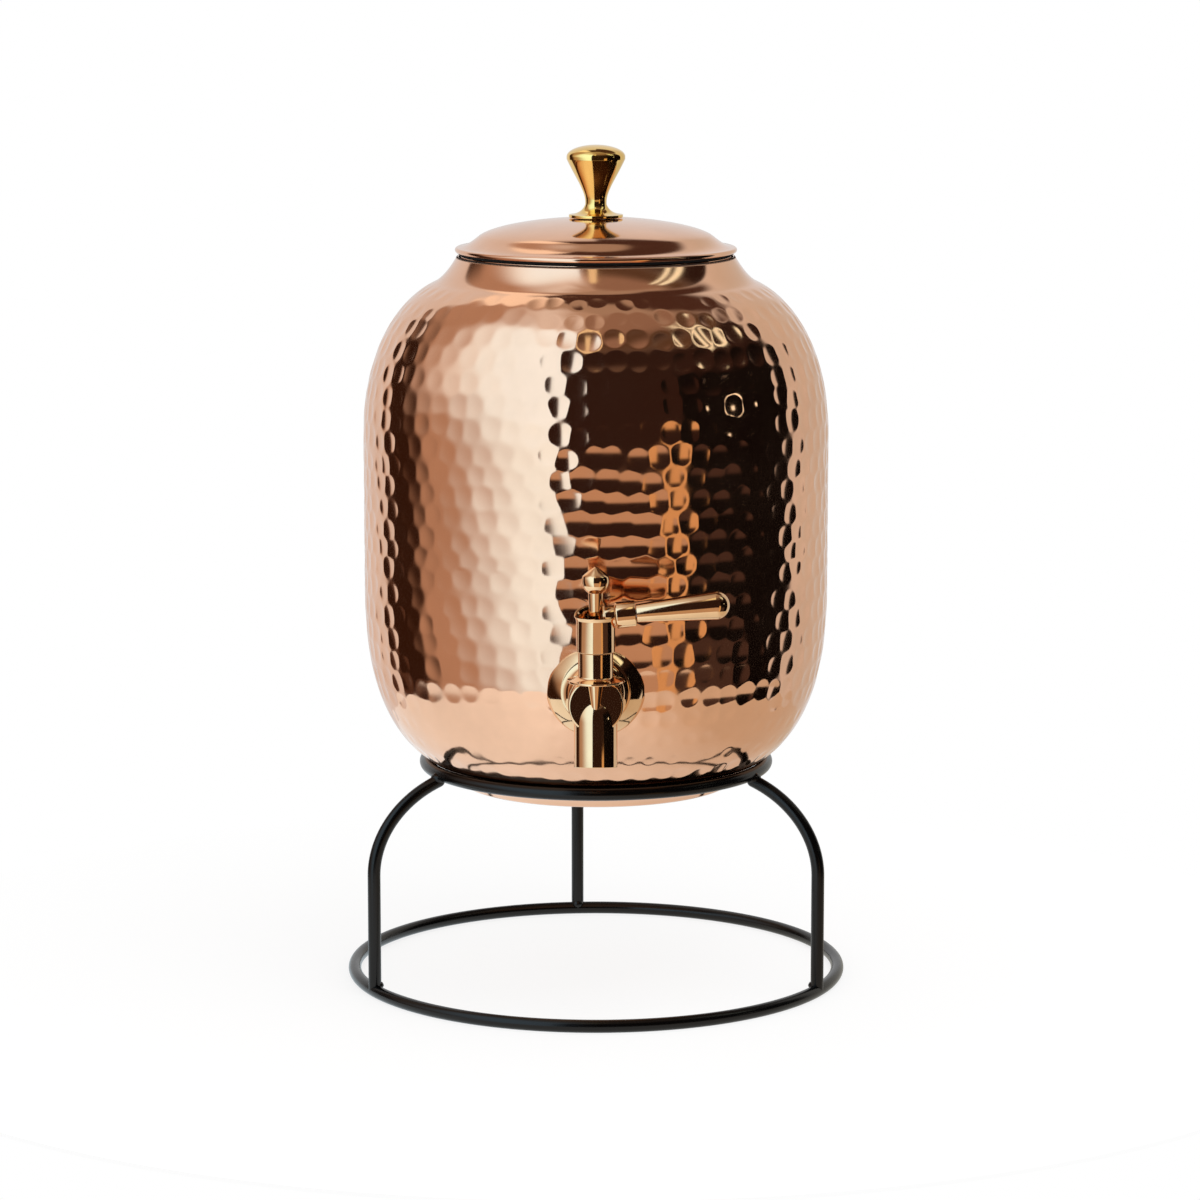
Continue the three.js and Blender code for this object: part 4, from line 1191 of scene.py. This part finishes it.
# Patches of the studio in the order they are laid over each other. Azimuth is 0 towards the camera and grows to the
# right. Each has its left, right, bottom and top edge, the slants of its left and right edges, the tilt of its bottom
# and top edges, the softness of the four edges, and its colour.
ROUND = 400
SURROUND = (0.76, 0.77, 0.78)
PLAIN_SKY = (0.85, 0.85, 0.85)
PATCHES = [
    ("right_wall", 115, 162, -60, 42, 0, 0, 0, 30, 20, 10, 20, (0.64, 0.63, 0.58)),
    ("ceiling", -ROUND, ROUND, 52, 120, 0, 0, 0, 1, 1, 20, 1, (0.4, 0.33, 0.27)),
    ("ceiling_left", -140, 10, 50, 120, 0, 0, 0, 50, 40, 20, 1, (0.5, 0.42, 0.36)),
    ("ceiling_front", -6, 100, 58, 86, 0, 0, 0, 20, 30, 12, 10, (0.3, 0.21, 0.16)),
    ("ceiling_bright", -135, -42, 52, 80, 0, 0, 0, 30, 20, 14, 12, (0.8, 0.86, 0.9)),
    ("left_wall", -128, -10, -60, 66, -0.3, 0, 0, 8, 10, 1, 20, (0.48, 0.34, 0.26)),
    ("left_shade", -125, -96, -60, 8, 0, 0, 0, 3, 20, 1, 30, (0.08, 0.04, 0.025)),
    ("softbox_tail", -95, -20, 25, 77, 0, 0, 0.15, 40, 20, 24, 16, (0.9, 1.0, 1.08)),
    ("softbox", -59, -17, -60, 62, -0.5, -0.04, 0, 55, 3, 1, 20, (1.05, 1.48, 1.8)),
    ("softbox_core", -46, -17, 4, 60, -0.5, -0.04, 0, 50, 3, 24, 20, (1.08, 1.56, 1.98)),
    ("left_flag", -125, -103, -24, 30, -0.45, -0.45, 0, 3, 14, 2, 25, (0.03, 0.012, 0.006)),
    ("right_dark", -17, 112, -60, 56, -0.04, 0.1, 0, 3, 3, 1, 20, (0.026, 0.0125, 0.009)),
    ("right_black", 44, 112, -60, 30, 0, 0.1, 0, 2, 3, 1, 14, (0.003, 0.0018, 0.0015)),
    ("right_brown", -12, 104, 50, 62, 0, 0.2, 0, 10, 10, 14, 10, (0.1, 0.06, 0.035)),
    ("low_glow", -16, 33, -60, -10.5, 0, 0, 0, 3, 4, 1, 5, (0.55, 0.39, 0.27)),
    ("low_dashes", 44, 78, -60, -12, 0, 0, 0, 3, 8, 1, 6, (0.06, 0.036, 0.028)),
    ("amber_strip", 32.5, 44, -60, 1, 0, 0, 0, 2, 2, 1, 4, (0.74, 0.47, 0.22)),
    ("left_pane", 75, 80, 39, 64, 0, 0, 0, 3, 3, 3, 4, (1.2, 1.4, 1.2)),
    ("right_pane", 85, 92, 39, 62, 0, 0, 0, 3, 3, 3, 4, (1.2, 1.4, 1.2)),
    ("middle_pane", -9, 1, 54, 72, 0, 0, 0, 2, 2, 6, 6, (0.95, 0.9, 0.6)),
    ("glint", 72, 77, 10, 14, 0, 0, 0, 1, 1, 1, 1, (1.5, 1.6, 1.4)),
    ("back_brown", 120, 400, 44, 72, 0, 0, 0, 20, 1, 8, 6, (0.07, 0.035, 0.025)),
    ("back_brown_left", -400, -160, 54, 72, 0, 0, 0, 1, 4, 8, 6, (0.07, 0.035, 0.025)),
    ("back_bright", -163, -142, 46, 64, 0, 0, 0, 4, 8, 8, 8, (1.1, 1.05, 0.95)),
]

# The floor as the metal mirrors it, painted lighter and cooler on the left, darker and warmer on the right and brighter
# towards the front, and its size.
FLOOR_LEFT = (0.93, 1.04, 1.1)
FLOOR_RIGHT = (0.62, 0.56, 0.46)
FLOOR_FRONT_BOOST = 1.25
FLOOR_GLOW = 0.81
FLOOR_MATT = 0.2
FLOOR_RADIUS = 0.43
FLOOR_THICKNESS = 2 * MM

# The overhead lamp: its size, its place and the point it faces.
LAMP_SIZE = 0.8
LAMP_PLACE = (0.3, AXIS_Y - 0.35, 1.3)
LAMP_TARGET = (0, AXIS_Y, 0.1)


class DISPENSER_OT_studio(Operator):
    """Sets up the floor, the studio around the dispenser, the lamp and the camera"""

    bl_idname = "dispenser.studio"
    bl_label = "Studio"

    def execute(self, context):
        settings = context.scene.dispenser_studio
        self.add_world(settings)
        self.add_floor()
        self.add_lamp(settings)
        self.add_camera()
        context.scene.view_settings.view_transform = "Standard"
        return {"FINISHED"}

    def add_world(self, settings):
        world = bpy.data.worlds.new("studio")
        bpy.context.scene.world = world
        world.use_nodes = True
        tree = world.node_tree
        tree.nodes.clear()
        place = add_node(tree, "ShaderNodeTexCoord").outputs["Generated"]
        axes = add_node(tree, "ShaderNodeSeparateXYZ", {"Vector": place}).outputs
        ahead = math_node(tree, "MULTIPLY", axes["Y"], -1.0)
        azimuth = math_node(tree, "DEGREES", math_node(tree, "ARCTAN2", axes["X"], ahead))
        elevation = math_node(tree, "DEGREES", math_node(tree, "ARCSINE", axes["Z"]))
        group = patch_group()
        color = rgba(SURROUND)
        for name, *edges, tint in PATCHES:
            values = {**dict(zip(PATCH_SOCKETS, edges)), "Azimuth": azimuth, "Elevation": elevation}
            patch = add_node(tree, "ShaderNodeGroup", values, node_tree=group, label=name)
            color = mixed(tree, patch, color, rgba(tint))
        around = add_node(tree, "ShaderNodeBackground", {"Color": color, "Strength": settings.studio})
        plain = add_node(tree, "ShaderNodeBackground", {"Color": rgba(PLAIN_SKY), "Strength": settings.studio})
        seen = add_node(tree, "ShaderNodeBackground", {"Color": (1, 1, 1, 1), "Strength": 1.0})
        ray = add_node(tree, "ShaderNodeLightPath").outputs
        lit = add_node(tree, "ShaderNodeMixShader", {"Fac": ray["Is Glossy Ray"], 1: plain, 2: around})
        choice = add_node(tree, "ShaderNodeMixShader", {"Fac": ray["Is Camera Ray"], 1: lit, 2: seen})
        add_node(tree, "ShaderNodeOutputWorld", {"Surface": choice})

    def add_floor(self):
        low = -FLOOR_THICKNESS
        vertices, faces = turned_mesh([(0, 0), (0, low), (FLOOR_RADIUS, low), (FLOOR_RADIUS, 0)], SMALL_SEGMENTS)
        mesh = bpy.data.meshes.new("floor")
        mesh.from_pydata([Vector((v.x, v.y + AXIS_Y, v.z)) for v in vertices], [], faces)
        floor = bpy.data.objects.new("floor", mesh)
        bpy.context.scene.collection.objects.link(floor)
        material, tree, shader = empty_material("floor_white")
        tree.nodes.remove(shader)
        ray = add_node(tree, "ShaderNodeLightPath").outputs
        strength = math_node(tree, "MULTIPLY", ray["Is Camera Ray"], FLOOR_GLOW)
        matt = add_node(tree, "ShaderNodeBsdfDiffuse", {"Color": rgba((1, 1, 1), FLOOR_MATT)})
        glow = add_node(tree, "ShaderNodeEmission", {"Color": (1, 1, 1, 1), "Strength": strength})
        total = add_node(tree, "ShaderNodeAddShader", {0: matt, 1: glow})
        place = add_node(tree, "ShaderNodeTexCoord").outputs["Object"]
        axes = add_node(tree, "ShaderNodeSeparateXYZ", {"Vector": place}).outputs
        # Painted light and shade seen only in reflections: the floor's glow for glossy rays runs from the lighter left
        # colour to the darker right one and grows towards the front.
        across = ranged(tree, axes["X"], {"From Min": -0.1, "From Max": 0.22})
        fall = {"From Min": -0.45, "From Max": -0.1, "To Min": FLOOR_FRONT_BOOST, "To Max": 1}
        side = mixed(tree, across, rgba(FLOOR_LEFT), rgba(FLOOR_RIGHT))
        painted_front_light = ranged(tree, axes["Y"], fall)
        painted_floor_light = add_node(tree, "ShaderNodeEmission", {"Color": side, "Strength": painted_front_light})
        choice = add_node(tree, "ShaderNodeMixShader", {"Fac": ray["Is Glossy Ray"], 1: total, 2: painted_floor_light})
        feed(tree, tree.nodes["Material Output"], {"Surface": choice})
        mesh.materials.append(material)

    def add_lamp(self, settings):
        lamp = bpy.data.lights.new("overhead", "AREA")
        lamp.shape = "DISK"
        lamp.size = LAMP_SIZE
        lamp.energy = settings.overhead
        holder = bpy.data.objects.new("overhead", lamp)
        holder.location = LAMP_PLACE
        holder.rotation_euler = (Vector(LAMP_TARGET) - holder.location).to_track_quat("-Z", "Y").to_euler()
        holder.visible_glossy = False
        bpy.context.scene.collection.objects.link(holder)

    def add_camera(self):
        camera = bpy.data.cameras.new("camera")
        camera.lens = CAMERA_LENS
        camera.sensor_width = CAMERA_SENSOR
        holder = bpy.data.objects.new("camera", camera)
        holder.location = (CAMERA_SIDE, AXIS_Y - CAMERA_DISTANCE, CAMERA_HEIGHT)
        holder.rotation_euler = (math.radians(90) - CAMERA_PITCH, 0, 0)
        bpy.context.scene.collection.objects.link(holder)
        bpy.context.scene.camera = holder


OPERATORS = (
    DISPENSER_OT_tank,
    DISPENSER_OT_lid,
    DISPENSER_OT_knob,
    DISPENSER_OT_tap_body,
    DISPENSER_OT_escutcheon,
    DISPENSER_OT_hub,
    DISPENSER_OT_lever,
    DISPENSER_OT_stand,
    DISPENSER_OT_fittings,
    DISPENSER_OT_studio,
)


class DISPENSER_PT_panel(Panel):
    """Buttons and settings of the dispenser"""

    bl_idname = "DISPENSER_PT_panel"
    bl_label = "Water Dispenser"
    bl_space_type = "VIEW_3D"
    bl_region_type = "UI"
    bl_category = "Dispenser"

    def draw(self, context):
        layout = self.layout
        for name in SETTINGS:
            settings = getattr(context.scene, name)
            box = layout.box()
            for key in settings.__annotations__:
                box.prop(settings, key)
        for operator in OPERATORS:
            layout.operator(operator.bl_idname)


SETTINGS = {
    "dispenser_tank": TankSettings,
    "dispenser_fittings": FittingSettings,
    "dispenser_stand": StandSettings,
    "dispenser_studio": StudioSettings,
}


def register():
    """Makes the settings, the operators and the panel known to Blender."""
    for name, settings in SETTINGS.items():
        bpy.utils.register_class(settings)
        setattr(bpy.types.Scene, name, PointerProperty(type=settings))
    for operator in OPERATORS:
        bpy.utils.register_class(operator)
    bpy.utils.register_class(DISPENSER_PT_panel)


def unregister():
    """Takes them away again."""
    bpy.utils.unregister_class(DISPENSER_PT_panel)
    for operator in reversed(OPERATORS):
        bpy.utils.unregister_class(operator)
    for name, settings in SETTINGS.items():
        delattr(bpy.types.Scene, name)
        bpy.utils.unregister_class(settings)


def main():
    """Builds the whole dispenser."""
    register()
    for operator in OPERATORS:
        getattr(bpy.ops.dispenser, operator.bl_idname.split(".")[1])()


if __name__ == "__main__":
    main()
